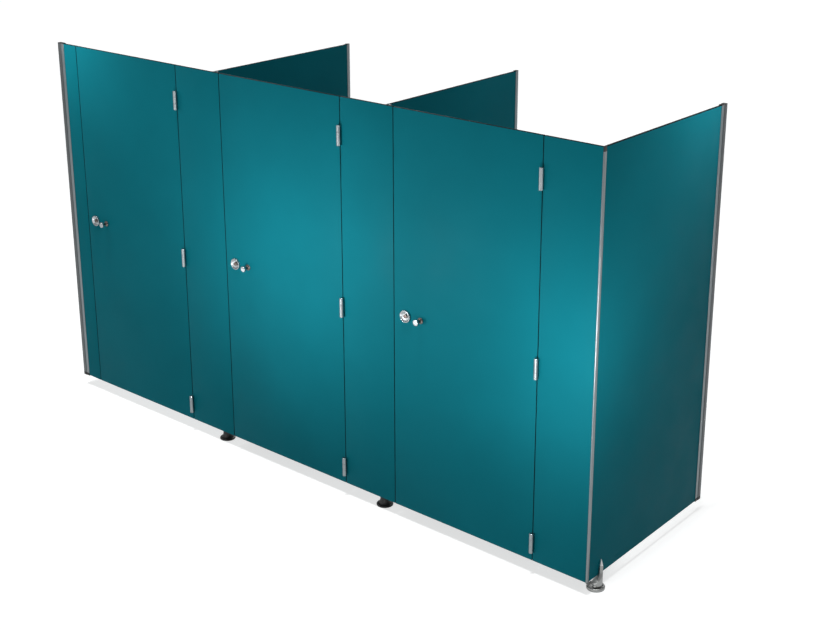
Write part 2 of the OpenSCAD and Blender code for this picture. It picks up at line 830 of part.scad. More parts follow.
// Shell of the end foot: a pointed round column against the panel's outer face, whose flank spreads over
// the round plate
module end_foot_shell() {
    spread = shell_r + norm([column_x - shell_x, column_y - shell_y]) + 1;
    flank = [for (a = [0 : 15 : 90])
             [spread - (spread - column_r) * (0.85 * a / 90 + 0.15 * sin(a)),
              flank_low + (flank_high - flank_low) * (0.85 * a / 90 + 0.15 * (1 - cos(a)))]];
    color(dark_steel) translate([end_foot_x, end_foot_y, 0]) difference() {
        intersection() {
            translate([column_x, column_y, 0]) rotate_extrude()
                polygon(concat([[0, shell_low], [spread, shell_low]], flank,
                    [[column_r, column_high], [column_r - 1, column_high + 1.5], [1, shell_high - 1], [0, shell_high]]));
            translate([shell_x, shell_y, shell_low]) cylinder(h = shell_high, r = shell_r, $fn = 96);
        }
        translate([end_x - end_foot_x - board / 2 - slot_play, -shell_r - 10, low_z])
            cube([board + slot_play, 2 * shell_r + 20, shell_high]);
        translate([0, 0, -1]) cylinder(h = end_stem_high + 3, r = stem_r + running_play);
    }
}

left_wall_channel();
left_channel_cover();
end_wall_channel();
end_channel_cover();
rear_wall_channel(1);  // rear_wall_channel_1
rear_wall_channel(2);  // rear_wall_channel_2
profile_caps();
filler_panel();
pilaster(1);  // pilaster_1
pilaster(2);  // pilaster_2
pilaster(3);  // pilaster_3
partition(1);  // partition_1
partition(2);  // partition_2
end_panel();
corner_post();
partition_profiles();
profile_screws();
hardware_screws();
frame_leaves(1);  // frame_leaves_1
frame_leaves(2);  // frame_leaves_2
frame_leaves(3);  // frame_leaves_3
hinge_pins();
lock_keepers();
door_stops();
foot_bracket(1);  // foot_bracket_1
foot_bracket(2);  // foot_bracket_2
end_foot_shell();
foot_base(1);  // foot_base_1
foot_base(2);  // foot_base_2
foot_base(3);  // foot_base_3
foot_stem(1);  // foot_stem_1
foot_stem(2);  // foot_stem_2
foot_stem(3);  // foot_stem_3
door_panel(1);  // door_panel_1
door_panel(2);  // door_panel_2
door_panel(3);  // door_panel_3
door_leaves(1);  // door_leaves_1
door_leaves(2);  // door_leaves_2
door_leaves(3);  // door_leaves_3
door_screws(1);  // door_screws_1
door_screws(2);  // door_screws_2
door_screws(3);  // door_screws_3
pull_knobs(1);  // pull_knobs_1
pull_knobs(2);  // pull_knobs_2
pull_knobs(3);  // pull_knobs_3
lock_rose(1);  // lock_rose_1
lock_rose(2);  // lock_rose_2
lock_rose(3);  // lock_rose_3
lock_case(1);  // lock_case_1
lock_case(2);  // lock_case_2
lock_case(3);  // lock_case_3
lock_knob(1);  // lock_knob_1
lock_knob(2);  // lock_knob_2
lock_knob(3);  // lock_knob_3
thumb_turn(1);  // thumb_turn_1
thumb_turn(2);  // thumb_turn_2
thumb_turn(3);  // thumb_turn_3
lock_bolt(1);  // lock_bolt_1
lock_bolt(2);  // lock_bolt_2
lock_bolt(3);  // lock_bolt_3
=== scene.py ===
"""Corner row of three toilet cubicles in compact laminate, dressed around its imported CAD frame.

Sizes are millimetres, as on a workshop drawing. Vectors and Blender's own lengths are metres.
"""

import json
import logging
import math
from collections.abc import Callable, Iterator, Sequence
from contextlib import contextmanager
from dataclasses import dataclass, field
from enum import Enum

import bmesh
import bpy
from mathutils import Euler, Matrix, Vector


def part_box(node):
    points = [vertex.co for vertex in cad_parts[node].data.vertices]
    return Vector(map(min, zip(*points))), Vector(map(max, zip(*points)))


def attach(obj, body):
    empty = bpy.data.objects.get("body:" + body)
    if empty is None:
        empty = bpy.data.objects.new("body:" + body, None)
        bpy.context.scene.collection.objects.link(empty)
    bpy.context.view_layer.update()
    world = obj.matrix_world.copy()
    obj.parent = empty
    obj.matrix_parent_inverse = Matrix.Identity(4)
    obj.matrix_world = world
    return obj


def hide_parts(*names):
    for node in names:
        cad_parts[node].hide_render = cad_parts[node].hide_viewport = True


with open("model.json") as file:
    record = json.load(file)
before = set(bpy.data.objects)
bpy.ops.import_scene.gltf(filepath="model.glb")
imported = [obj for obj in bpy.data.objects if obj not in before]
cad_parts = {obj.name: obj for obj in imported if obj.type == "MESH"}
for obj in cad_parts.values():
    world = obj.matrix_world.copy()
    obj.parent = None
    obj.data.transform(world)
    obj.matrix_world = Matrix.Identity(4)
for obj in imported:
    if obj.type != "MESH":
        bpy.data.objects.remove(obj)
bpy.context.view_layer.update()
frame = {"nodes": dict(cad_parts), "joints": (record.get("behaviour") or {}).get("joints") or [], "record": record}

LOG = logging.getLogger("cubicles")
MM = 0.001
WELD = 0.00001  # metres within which two points are one
PARALLEL = 0.99  # cosine above which two directions count as one
DOORS = (1, 2, 3)
UP = Vector((0.0, 0.0, 1.0))
OUTSIDE = Vector((0.0, -1.0, 0.0))
INSIDE = Vector((0.0, 1.0, 0.0))
RIGHT = Vector((1.0, 0.0, 0.0))

Piece = bpy.types.Object
Node = bpy.types.Node
Socket = bpy.types.NodeSocket
Shaded = bpy.types.Material | bpy.types.World
Edge = bmesh.types.BMEdge
Ring = tuple[float, float]
Colour = tuple[float, float, float, float]
WHITE: Colour = (1.0, 1.0, 1.0, 1.0)


# ---------- working in Blender ----------


def mm(*values: float) -> Vector:
    """Vector in metres from millimetres."""
    return Vector(values) * MM


def select_only(*pieces: Piece) -> None:
    """Selects these pieces and nothing else; the first becomes the active one.

    Args:
        pieces: What is selected.
    """
    bpy.ops.object.select_all(action="DESELECT")
    for piece in pieces:
        piece.select_set(True)
    if pieces:
        bpy.context.view_layer.objects.active = pieces[0]


def added(name: str) -> Piece:
    """The object that an operator has just added, named, with its transform in its mesh.

    Args:
        name: Its name.

    Returns:
        The object.
    """
    bpy.ops.object.transform_apply(location=True, rotation=True, scale=True)
    bpy.context.object.name = name
    return bpy.context.object


def discard(*models: Piece) -> None:
    """Removes models that have been copied to their places."""
    for model in models:
        bpy.data.objects.remove(model, do_unlink=True)


@contextmanager
def editing(piece: Piece, kind: str = "FACE") -> Iterator[None]:
    """Edit mode on one piece, with nothing selected at its start.

    Args:
        piece: The mesh object to edit.
        kind: What is selected in it: VERT, EDGE or FACE.

    Returns:
        A context in which the piece is edited.
    """
    select_only(piece)
    bpy.ops.object.mode_set(mode="EDIT")
    bpy.ops.mesh.select_mode(type=kind)
    bpy.ops.mesh.select_all(action="DESELECT")
    yield
    bpy.ops.object.mode_set(mode="OBJECT")


def pick(piece: Piece, kind: str, wanted: Callable[..., bool]) -> None:
    """Selects parts of the piece being edited.

    Args:
        piece: The piece.
        kind: What is selected: verts, edges or faces.
        wanted: Whether one of them is selected.
    """
    shape = bmesh.from_edit_mesh(piece.data)
    for element in getattr(shape, kind):
        element.select_set(wanted(element))
    bmesh.update_edit_mesh(piece.data)


def runs_along(edge: Edge, direction: Vector) -> bool:
    """Whether an edge is parallel to a direction."""
    span = edge.verts[1].co - edge.verts[0].co
    return abs(span.normalized().dot(direction)) > PARALLEL


def round_edges(piece: Piece, radius: float, segments: int, wanted: Callable[[Edge], bool]) -> None:
    """Rounds some of a piece's edges.

    Args:
        piece: The piece.
        radius: Radius in millimetres.
        segments: Steps of the rounding.
        wanted: Whether an edge is rounded.
    """
    with editing(piece, "EDGE"):
        pick(piece, "edges", wanted)
        bpy.ops.mesh.bevel(offset=radius * MM, segments=segments, affect="EDGES")


def remove_faces(piece: Piece, wanted: Callable[[bmesh.types.BMFace], bool]) -> None:
    """Removes some of a piece's faces.

    Args:
        piece: The piece.
        wanted: Whether a face goes.
    """
    with editing(piece):
        pick(piece, "faces", wanted)
        bpy.ops.mesh.delete(type="FACE")


def finish_with(piece: Piece, kind: str, **settings: object) -> None:
    """Adds a modifier to a piece and applies it.

    Args:
        piece: The piece.
        kind: The modifier's type.
        settings: Its properties.
    """
    select_only(piece)
    bpy.ops.object.modifier_add(type=kind)
    modifier = piece.modifiers[-1]
    for name, value in settings.items():
        setattr(modifier, name, value)
    bpy.ops.object.modifier_apply(modifier=modifier.name)


def thicken(piece: Piece, wall: float, offset: float = -1.0) -> None:
    """Gives a skin a wall in millimetres: inwards at offset -1, to both sides at 0."""
    finish_with(piece, "SOLIDIFY", thickness=wall * MM, offset=offset, use_even_offset=True)


def soften(piece: Piece, width: float, segments: int = 2, angle: float = 40.0) -> None:
    """Rounds the edges that are sharper than angle by width millimetres."""
    finish_with(piece, "BEVEL", width=width * MM, segments=segments, limit_method="ANGLE",
                angle_limit=math.radians(angle), use_clamp_overlap=True)


def combine(piece: Piece, other: Piece, how: str = "UNION") -> None:
    """Joins other to piece, or cuts it away, as solids; other is used up."""
    finish_with(piece, "BOOLEAN", object=other, operation=how, solver="EXACT")
    discard(other)


def placed(piece: Piece, place: Vector, out: Vector = UP) -> Piece:
    """Moves a piece that was modelled on the Z axis, with its place kept in its mesh.

    Args:
        piece: The piece, modelled at the origin.
        place: Where its origin goes, in metres.
        out: Where its Z axis points.

    Returns:
        The same piece.
    """
    select_only(piece)
    piece.location = place
    if out.cross(UP).length > 1 - PARALLEL:
        piece.rotation_euler = out.to_track_quat("Z", "Y").to_euler()
    elif out.z < 0:
        piece.rotation_euler = Euler((math.pi, 0.0, 0.0))
    return added(piece.name)


def copy_of(piece: Piece, name: str) -> Piece:
    """Copy of a piece with a mesh of its own.

    Args:
        piece: The model.
        name: Name of the copy.

    Returns:
        The copy.
    """
    select_only(piece)
    bpy.ops.object.duplicate(linked=False)
    bpy.context.object.name = name
    return bpy.context.object


def gather(name: str, pieces: Sequence[Piece]) -> Piece:
    """Joins several pieces into one object.

    Args:
        name: Name of the joined object.
        pieces: What is joined.

    Returns:
        The joined object.
    """
    select_only(*pieces)
    if len(pieces) > 1:
        bpy.ops.object.join()
    pieces[0].name = name
    return pieces[0]


# ---------- basic forms ----------


def block(name: str, low: Vector, high: Vector) -> Piece:
    """Cube primitive stretched between two corners.

    Args:
        name: Name of the new object.
        low: Lowest corner, in metres.
        high: Highest corner, in metres.

    Returns:
        The new object.
    """
    select_only()
    bpy.ops.mesh.primitive_cube_add(size=1.0, location=(low + high) / 2)
    bpy.context.object.scale = high - low
    return added(name)


def rounded_block(name: str, low: Vector, high: Vector, radius: float) -> Piece:
    """Block with four rounded edges.

    Args:
        name: Name of the new object.
        low: Lowest corner, in metres.
        high: Highest corner, in metres.
        radius: Radius of its four edges along Y.

    Returns:
        The new object.
    """
    piece = block(name, low, high)
    round_edges(piece, radius, 6, lambda edge: runs_along(edge, INSIDE))
    return piece


def bent_strip(name: str, width: float, legs: Sequence[Ring], thickness: float, bend: float) -> Piece:
    """Flat strip, bent as on a brake: an edge drawn out leg by leg in the YZ plane from the origin.

    Args:
        name: Name of the new object.
        width: Width of the strip along X.
        legs: Run of each leg along Y and Z.
        thickness: Thickness of the strip, half of it on each side of the legs.
        bend: Radius of the bends at the strip's middle.

    Returns:
        The new object.
    """
    select_only()
    bpy.ops.mesh.primitive_plane_add(size=width * MM)
    piece = added(name)
    with editing(piece, "VERT"):
        pick(piece, "verts", lambda vertex: vertex.co.y > 0)
        bpy.ops.mesh.delete(type="VERT")
        bpy.ops.mesh.select_all(action="SELECT")
        bpy.ops.transform.translate(value=mm(0, width / 2, 0))
        bpy.ops.mesh.select_mode(type="EDGE")
        bpy.ops.mesh.select_all(action="SELECT")
        for out, up in legs:
            bpy.ops.mesh.extrude_edges_move(TRANSFORM_OT_translate={"value": mm(0, out, up)})
    round_edges(piece, bend, 5, lambda edge: len(edge.link_faces) == 2)
    thicken(piece, thickness, 0.0)
    return piece


def copy_of_solid(node: str, name: str) -> Piece:
    """Copy of a CAD node as an ordinary piece, its loose triangles merged into one skin.

    Args:
        node: Name of the node.
        name: Name of the copy.

    Returns:
        The copy.
    """
    piece = copy_of(frame["nodes"][node], name)
    for key in [key for key in piece.keys() if key.startswith("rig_")]:
        del piece[key]
    with editing(piece, "VERT"):
        bpy.ops.mesh.select_all(action="SELECT")
        bpy.ops.mesh.remove_doubles(threshold=WELD)
        bpy.ops.mesh.dissolve_limited(angle_limit=math.radians(0.5))
    return piece


def arc(centre: Ring, radius: float, start: float, end: float, steps: int, rise: float = 0.0) -> list[Ring]:
    """Points on a round or oval arc of a turned part's profile.

    Args:
        centre: Distance of its centre from the axis, and its height.
        radius: Its radius.
        start: Angle of its first point in degrees; 0 points away from the axis, 90 upwards.
        end: Angle of its last point.
        steps: Number of straight steps.
        rise: Its radius upwards, where it is oval.

    Returns:
        Rings from start to end.
    """
    angles = [math.radians(start + (end - start) * i / steps) for i in range(steps + 1)]
    return [(centre[0] + radius * math.cos(a), centre[1] + (rise or radius) * math.sin(a)) for a in angles]


def turned(name: str, rings: Sequence[Ring], sides: int = 64, bored: bool = False) -> Piece:
    """Turned part on the Z axis: a circle drawn out ring by ring.

    Its "turning" attribute holds each point's distance from the axis and its height, for lathe marks.

    Args:
        name: Name of the new object.
        rings: Radius and height of each ring.
        sides: Sides of the circle.
        bored: Whether the last ring meets the first one round an open bore. Else both ends are closed.

    Returns:
        The new object.
    """
    radius, height = rings[0]
    select_only()
    bpy.ops.mesh.primitive_circle_add(vertices=sides, radius=radius * MM,
                                      fill_type="NOTHING" if bored else "NGON")
    bpy.context.object.location.z = height * MM
    piece = added(name)
    with editing(piece, "EDGE"):
        bpy.ops.mesh.select_all(action="SELECT")
        for next_radius, next_height in rings[1:]:
            rise = (0.0, 0.0, (next_height - height) * MM)
            bpy.ops.mesh.extrude_edges_move(TRANSFORM_OT_translate={"value": rise})
            growth = next_radius / radius
            bpy.ops.transform.resize(value=(growth, growth, 1.0))
            radius, height = next_radius, next_height
        if not bored:
            bpy.ops.mesh.edge_face_add()
        bpy.ops.mesh.select_all(action="SELECT")
        bpy.ops.mesh.remove_doubles(threshold=WELD)
        bpy.ops.mesh.normals_make_consistent(inside=False)
    marks = piece.data.attributes.new("turning", "FLOAT_VECTOR", "POINT")
    for mark, vertex in zip(marks.data, piece.data.vertices):
        mark.vector = (vertex.co.xy.length, vertex.co.z, 0.0)
    return piece


def drill(piece: Piece, place: Vector, along: Vector, radius: float, depth: float) -> None:
    """Cuts a round hole, centred on place, through piece.

    Args:
        piece: The solid that is drilled.
        place: Middle of the hole, in metres.
        along: Direction of the hole.
        radius: Radius of the hole.
        depth: Whole length of the cut.
    """
    tool = turned("drill", [(radius, -depth / 2), (radius, depth / 2)], sides=40)
    combine(piece, placed(tool, place, along), "DIFFERENCE")


@dataclass(frozen=True)
class Countersink:
    """Hole for a countersunk screw that is driven from inside the cubicle."""

    hole: float = 2.1
    sink: float = 2.2  # depth of the cone
    head: float = 4.4  # radius of the cone at the surface

    def cut(self, piece: Piece, place: Vector, depth: float) -> None:
        """Cuts it into piece, with its mouth at place and its hole of that depth."""
        tool = turned("sink", [(self.hole, -depth), (self.hole, -self.sink), (self.head, 0.0),
                               (self.head + 1, 1.0)], sides=32)
        combine(piece, placed(tool, place, INSIDE), "DIFFERENCE")


def solids_of(node: str) -> list[tuple[Vector, Vector, list[Vector]]]:
    """Separate solids of a CAD node.

    Args:
        node: Name of the node.

    Returns:
        Lowest corner, highest corner and points of each solid, in metres.
    """
    shape = bmesh.new()
    shape.from_mesh(frame["nodes"][node].data)
    bmesh.ops.remove_doubles(shape, verts=shape.verts, dist=WELD)
    waiting = set(shape.verts)
    found = []
    while waiting:
        border = [waiting.pop()]
        points = []
        while border:
            vertex = border.pop()
            points.append(vertex.co.copy())
            beside = {edge.other_vert(vertex) for edge in vertex.link_edges} & waiting
            waiting -= beside
            border.extend(beside)
        low, high = (Vector([end(p[i] for p in points) for i in range(3)]) for end in (min, max))
        found.append((low, high, points))
    shape.free()
    return sorted(found, key=lambda solid: tuple(solid[0]))


# ---------- materials ----------


def to_linear(hex_colour: str, factor: float = 1.0) -> Colour:
    """Linear colour of an sRGB one.

    Args:
        hex_colour: An sRGB value such as #0E6E7C.
        factor: Makes it darker or lighter.

    Returns:
        Red, green, blue and alpha.
    """
    channels = [int(hex_colour[i:i + 2], 16) / 255 for i in (1, 3, 5)]
    red, green, blue = [c / 12.92 if c <= 0.04045 else ((c + 0.055) / 1.055) ** 2.4 for c in channels]
    return red * factor, green * factor, blue * factor, 1.0


def add_node(material: Shaded, kind: str, inputs: dict[str | int, object] | None = None,
             **settings: object) -> Node:
    """Adds a shader node.

    Args:
        material: Material or world that the node goes into.
        kind: The node's type without its ShaderNode prefix.
        inputs: Value of each input, or the output socket that is linked to it.
        settings: The node's own properties.

    Returns:
        The new node.
    """
    tree = material.node_tree
    node = tree.nodes.new("ShaderNode" + kind)
    for name, value in settings.items():
        setattr(node, name, value)
    for socket, value in (inputs or {}).items():
        if isinstance(value, Socket):
            tree.links.new(value, node.inputs[socket])
        else:
            node.inputs[socket].default_value = value
    return node


def emptied(material: Shaded) -> Shaded:
    """Lets a new material or world use nodes, and clears the ones that it starts with.

    Args:
        material: The new material or world.

    Returns:
        The same one.
    """
    material.use_nodes = True
    material.node_tree.nodes.clear()
    return material


class Grain(Enum):
    """Direction in which a surface was worked, or across which it is layered."""

    X = 0
    Y = 1
    Z = 2

    def scale(self, along: float, across: float) -> tuple[float, ...]:
        """Pattern units per metre, along this direction and across it."""
        return tuple(along if axis == self.value else across for axis in range(3))


@dataclass(frozen=True)
class Noise:
    """Noise pattern over a piece's own coordinates or its lathe marks."""

    per_metre: tuple[float, ...]  # pattern units along each axis
    detail: float = 2.0  # amount of finer noise on it
    lathe: bool = False  # whether it follows the mesh's turning attribute

    def value(self, material: Shaded) -> Socket:
        """Builds the pattern's nodes.

        Args:
            material: What the nodes go into.

        Returns:
            The pattern's value, between 0 and 1.
        """
        if self.lathe:
            place = add_node(material, "Attribute", attribute_name="turning").outputs["Vector"]
        else:
            place = add_node(material, "TexCoord").outputs["Object"]
        scaled = add_node(material, "Mapping", {"Vector": place, "Scale": self.per_metre})
        noise = add_node(material, "TexNoise", {"Vector": scaled.outputs["Vector"], "Scale": 1.0,
                                                "Detail": self.detail})
        return noise.outputs["Fac"]


@dataclass(frozen=True)
class Recipe:
    """How a finish varies over its surface: the patterns of its colour, sheen and height."""

    tone: Noise
    tones: Ring  # factors of the clean colour at the pattern's low and high places
    sheen: Noise
    sheens: Ring | None  # steps from the mean roughness at those places; none where it is even
    relief: Noise
    depth: float  # of the relief
    metallic: float = 0.0  # 1 for bare metal
    specular: float = 0.5


@dataclass(frozen=True)
class Finish:
    """Surface finish; its material is made once, when it is first used."""

    name: str  # the real material and how it was finished
    colour: str  # sRGB hex value of the clean surface
    roughness: float  # its mean

    def recipe(self) -> Recipe:
        """How the finish varies."""
        raise NotImplementedError

    def material(self) -> bpy.types.Material:
        """Makes the finish's material, or finds it.

        Returns:
            The material.
        """
        found = bpy.data.materials.get(self.name)
        if found is None:
            found = emptied(bpy.data.materials.new(self.name))
            found.diffuse_color = to_linear(self.colour)
            add_node(found, "OutputMaterial", {"Surface": self.surface(found).outputs["BSDF"]})
        return found

    def surface(self, material: bpy.types.Material) -> Node:
        """Builds the nodes up to the shader.

        Args:
            material: The empty material.

        Returns:
            The shader, with its colour, sheen and relief linked.
        """
        recipe = self.recipe()
        values = {noise: noise.value(material)
                  for noise in dict.fromkeys((recipe.tone, recipe.sheen, recipe.relief))}
        usual = {"From Min": 0.3, "From Max": 0.7}  # noise seldom leaves this range
        tone = add_node(material, "MapRange", {"Value": values[recipe.tone], **usual})
        colours = [to_linear(self.colour, factor) for factor in recipe.tones]
        colour = add_node(material, "Mix", {"Factor": tone.outputs["Result"], 6: colours[0], 7: colours[1]},
                          data_type="RGBA")
        roughness = self.roughness
        if recipe.sheens is not None:
            low, high = (self.roughness + step for step in recipe.sheens)
            sheen = add_node(material, "MapRange", {"Value": values[recipe.sheen], **usual,
                                                    "To Min": low, "To Max": high})
            roughness = sheen.outputs["Result"]
        relief = add_node(material, "Bump", {"Height": values[recipe.relief], "Distance": recipe.depth * MM})
        return add_node(material, "BsdfPrincipled", {
            "Base Color": colour.outputs[2], "Roughness": roughness, "Metallic": recipe.metallic,
            "Specular IOR Level": recipe.specular, "Normal": relief.outputs["Normal"]})


def even(per_metre: float) -> tuple[float, ...]:
    """The same number of pattern units per metre along every axis."""
    return (per_metre,) * 3


@dataclass(frozen=True)
class CompactLaminateFace(Finish):
    """High-pressure laminate, pressed on a satin plate: a deep even colour with a soft, low sheen."""

    grain_mm: float = 2.5  # the pressed pearl grain is finer; drawn as coarse as it shows
    cloud_mm: float = 420.0
    wipe_mm: float = 160.0

    def recipe(self) -> Recipe:
        """Decor paper under melamine resin: faint cloudiness, pearl grain, uneven sheen where hands wipe."""
        return Recipe(Noise(even(1000 / self.cloud_mm), 3.0), (0.95, 1.05), Noise(even(1000 / self.wipe_mm)),
                      (-0.05, 0.05), Noise(even(1000 / self.grain_mm), 1.0), 0.03, specular=0.02)


@dataclass(frozen=True)
class PhenolicCoreEdge(Finish):
    """Milled and broken edge of compact laminate: near-black kraft paper core with fine layer lines."""

    across: Grain = Grain.Y
    layer_mm: float = 1.6  # the papers are 0.2 mm thick; drawn as coarse as they show

    def recipe(self) -> Recipe:
        """Layer lines across the board's thickness and dull, slightly open fibres."""
        layers = Noise(self.across.scale(1000 / self.layer_mm, 8.0), 1.0)
        return Recipe(layers, (0.7, 1.5), layers, None, layers, 0.05, specular=0.08)


@dataclass(frozen=True)
class WorkedMetal(Finish):
    """Metal with lines along the way it was drawn or brushed, which pull its highlights into streaks."""

    grain: Grain = Grain.Z
    line_mm: float = 1.2  # real lines are 0.05 to 0.2 mm apart; drawn as coarse as they show

    def recipe(self) -> Recipe:
        """Long streaks in colour and relief, with faint handling clouds in the sheen."""
        streaks = Noise(self.grain.scale(6.0, 1000 / self.line_mm), 3.0)
        return Recipe(streaks, (0.92, 1.08), Noise(even(18.0)), (-0.04, 0.05), streaks, 0.01, metallic=1.0)


@dataclass(frozen=True)
class TurnedMetal(Finish):
    """Metal turned on a lathe: fine rings round its axis, which fan the highlights out."""

    feed_mm: float = 0.5  # the real feed is 0.1 mm; drawn as coarse as it shows
    depth_mm: float = 0.006

    def recipe(self) -> Recipe:
        """Rings read from the mesh's turning attribute, with faint random clouds in its colour."""
        rings = Noise(even(1000 / self.feed_mm), lathe=True)
        return Recipe(Noise(even(60.0)), (0.93, 1.04), rings, (-0.05, 0.06), rings, self.depth_mm,
                      metallic=1.0)


@dataclass(frozen=True)
class MouldedPolymer(Finish):
    """Moulded nylon or rubber with the spark-eroded texture of its mould: a soft, broken sheen."""

    grain_mm: float = 1.0  # the eroded grain is 0.3 mm; drawn as coarse as it shows
    depth_mm: float = 0.04

    def recipe(self) -> Recipe:
        """Eroded grain and a faint bloom of dust."""
        dust = Noise(even(35.0), 3.0)
        return Recipe(dust, (0.85, 1.35), dust, (-0.05, 0.07), Noise(even(1000 / self.grain_mm)),
                      self.depth_mm)


@dataclass(frozen=True)
class Palette:
    """The finishes of the whole row."""

    laminate: Finish = CompactLaminateFace("compact laminate, satin petrol", "#0D6F7C", 0.46)
    front_core: Finish = PhenolicCoreEdge("phenolic core of the front boards", "#0B1719", 0.7)
    deep_core: Finish = PhenolicCoreEdge("phenolic core of the partitions", "#0B1719", 0.7, Grain.X)
    extrusion: Finish = WorkedMetal("anodised aluminium extrusion", "#8E9598", 0.42)
    # darker copy of the anodised aluminium on the channels fixed to the walls: painted shade
    painted_shade_extrusion: Finish = WorkedMetal("anodised aluminium wall channel", "#6C7072", 0.45)
    brushed: Finish = WorkedMetal("brushed stainless steel", "#9BA2A5", 0.34)
    brushed_across: Finish = WorkedMetal("brushed stainless steel plate", "#A5ABAE", 0.36, Grain.X)
    turned: Finish = TurnedMetal("satin turned stainless steel", "#B3B9BC", 0.25)
    cast: Finish = TurnedMetal("satin stainless casting", "#A6A7A6", 0.36, 1.5, 0.012)
    # near-white copy of the stainless casting on the end foot's point: a painted highlight
    polished: Finish = TurnedMetal("polished stainless point", "#F4F6F7", 0.3, 1.5, 0.004)
    # darker brownish metal: painted shade and dark reflection on the knobs' necks and the lock's release button
    nickel: Finish = TurnedMetal("worn nickel-plated brass", "#756B67", 0.32)
    zinc: Finish = TurnedMetal("zinc-plated steel", "#B9BCBC", 0.33, 0.8)
    nylon: Finish = MouldedPolymer("black moulded nylon", "#141415", 0.42)
    rubber: Finish = MouldedPolymer("black rubber", "#111112", 0.72, 1.4, 0.06)


# ---------- what every sub-assembly shares ----------


BODY_OF = {node: body for body, nodes in frame["record"]["behaviour"]["bodies"].items() for node in nodes}


def dress(piece: Piece, *finishes: Finish, second: Callable[[bpy.types.MeshPolygon], bool] | None = None,
          angle: float = 32.0) -> Piece:
    """Shades a piece smooth and gives it its finishes.

    Args:
        piece: The piece.
        finishes: Its finish, or two of them.
        second: Whether a face takes the second finish.
        angle: Edges sharper than this stay sharp, in degrees.

    Returns:
        The same piece.
    """
    select_only(piece)
    bpy.ops.object.shade_smooth_by_angle(angle=math.radians(angle))
    piece.data.materials.clear()
    for finish in finishes:
        piece.data.materials.append(finish.material())
    for face in piece.data.polygons:
        face.material_index = int(second is not None and second(face))
    return piece


def hand_over(piece: Piece, *nodes: str) -> None:
    """Lets a finished piece stand for CAD nodes of one body, and reports it.

    Args:
        piece: The finished piece.
        nodes: Names of the nodes.
    """
    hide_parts(*nodes)
    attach(piece, BODY_OF[nodes[0]])
    LOG.info("%s stands for %s on %s: %d faces", piece.name, ", ".join(nodes), BODY_OF[nodes[0]],
             len(piece.data.polygons))


def joint_place(name: str) -> Vector:
    """Where a joint of the record stands, in metres."""
    return Vector(next(joint["pos_m"] for joint in frame["joints"] if joint["name"] == name))


def centre_of(node: str) -> Vector:
    """Middle of a CAD node's box, in metres."""
    return sum(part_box(node), Vector()) / 2


# ---------- boards ----------


@dataclass
class Boards:
    """Filler, pilasters, doors, partitions and end panel, sawn from 13 mm compact laminate."""

    palette: Palette
    edge: float = 0.9  # width of the broken edges
    knob_bolt: float = 3.2  # radius of the hole for the pull knob's bolt
    lock_bore: float = 9.0  # radius of the hole for the lock's spindle

    def build(self) -> None:
        """Builds every board."""
        for node in ("filler_panel", "pilaster_1", "pilaster_2", "pilaster_3"):
            self.finish(self.sawn(node), node, INSIDE, self.palette.front_core)
        for node in ("partition_1", "partition_2", "end_panel"):
            self.finish(self.sawn(node), node, RIGHT, self.palette.deep_core)
        for k in DOORS:
            board = self.sawn(f"door_panel_{k}")
            self.bore(board, k)
            self.finish(board, f"door_panel_{k}", INSIDE, self.palette.front_core)

    def sawn(self, node: str) -> Piece:
        """Board of the node's size with broken edges.

        Args:
            node: The board's CAD node.

        Returns:
            The board.
        """
        board = block(f"{node}_board", *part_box(node))
        soften(board, self.edge, segments=3)
        return board

    def bore(self, board: Piece, k: int) -> None:
        """Drills a door for its knob and its lock.

        Args:
            board: The door's board.
            k: The door's number.
        """
        low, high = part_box(f"door_panel_{k}")
        for node, radius in ((f"pull_knobs_{k}", self.knob_bolt), (f"lock_rose_{k}", self.lock_bore)):
            place = centre_of(node)
            place.y = (low.y + high.y) / 2
            drill(board, place, OUTSIDE, radius, (high.y - low.y) / MM + 4)

    def finish(self, board: Piece, node: str, across: Vector, core: Finish) -> None:
        """Laminate on both faces, which lie across one direction, and bare core on every edge."""
        hand_over(dress(board, self.palette.laminate, core, angle=20.0,
                        second=lambda face: abs(face.normal.dot(across)) <= PARALLEL), node)


# ---------- aluminium profiles ----------


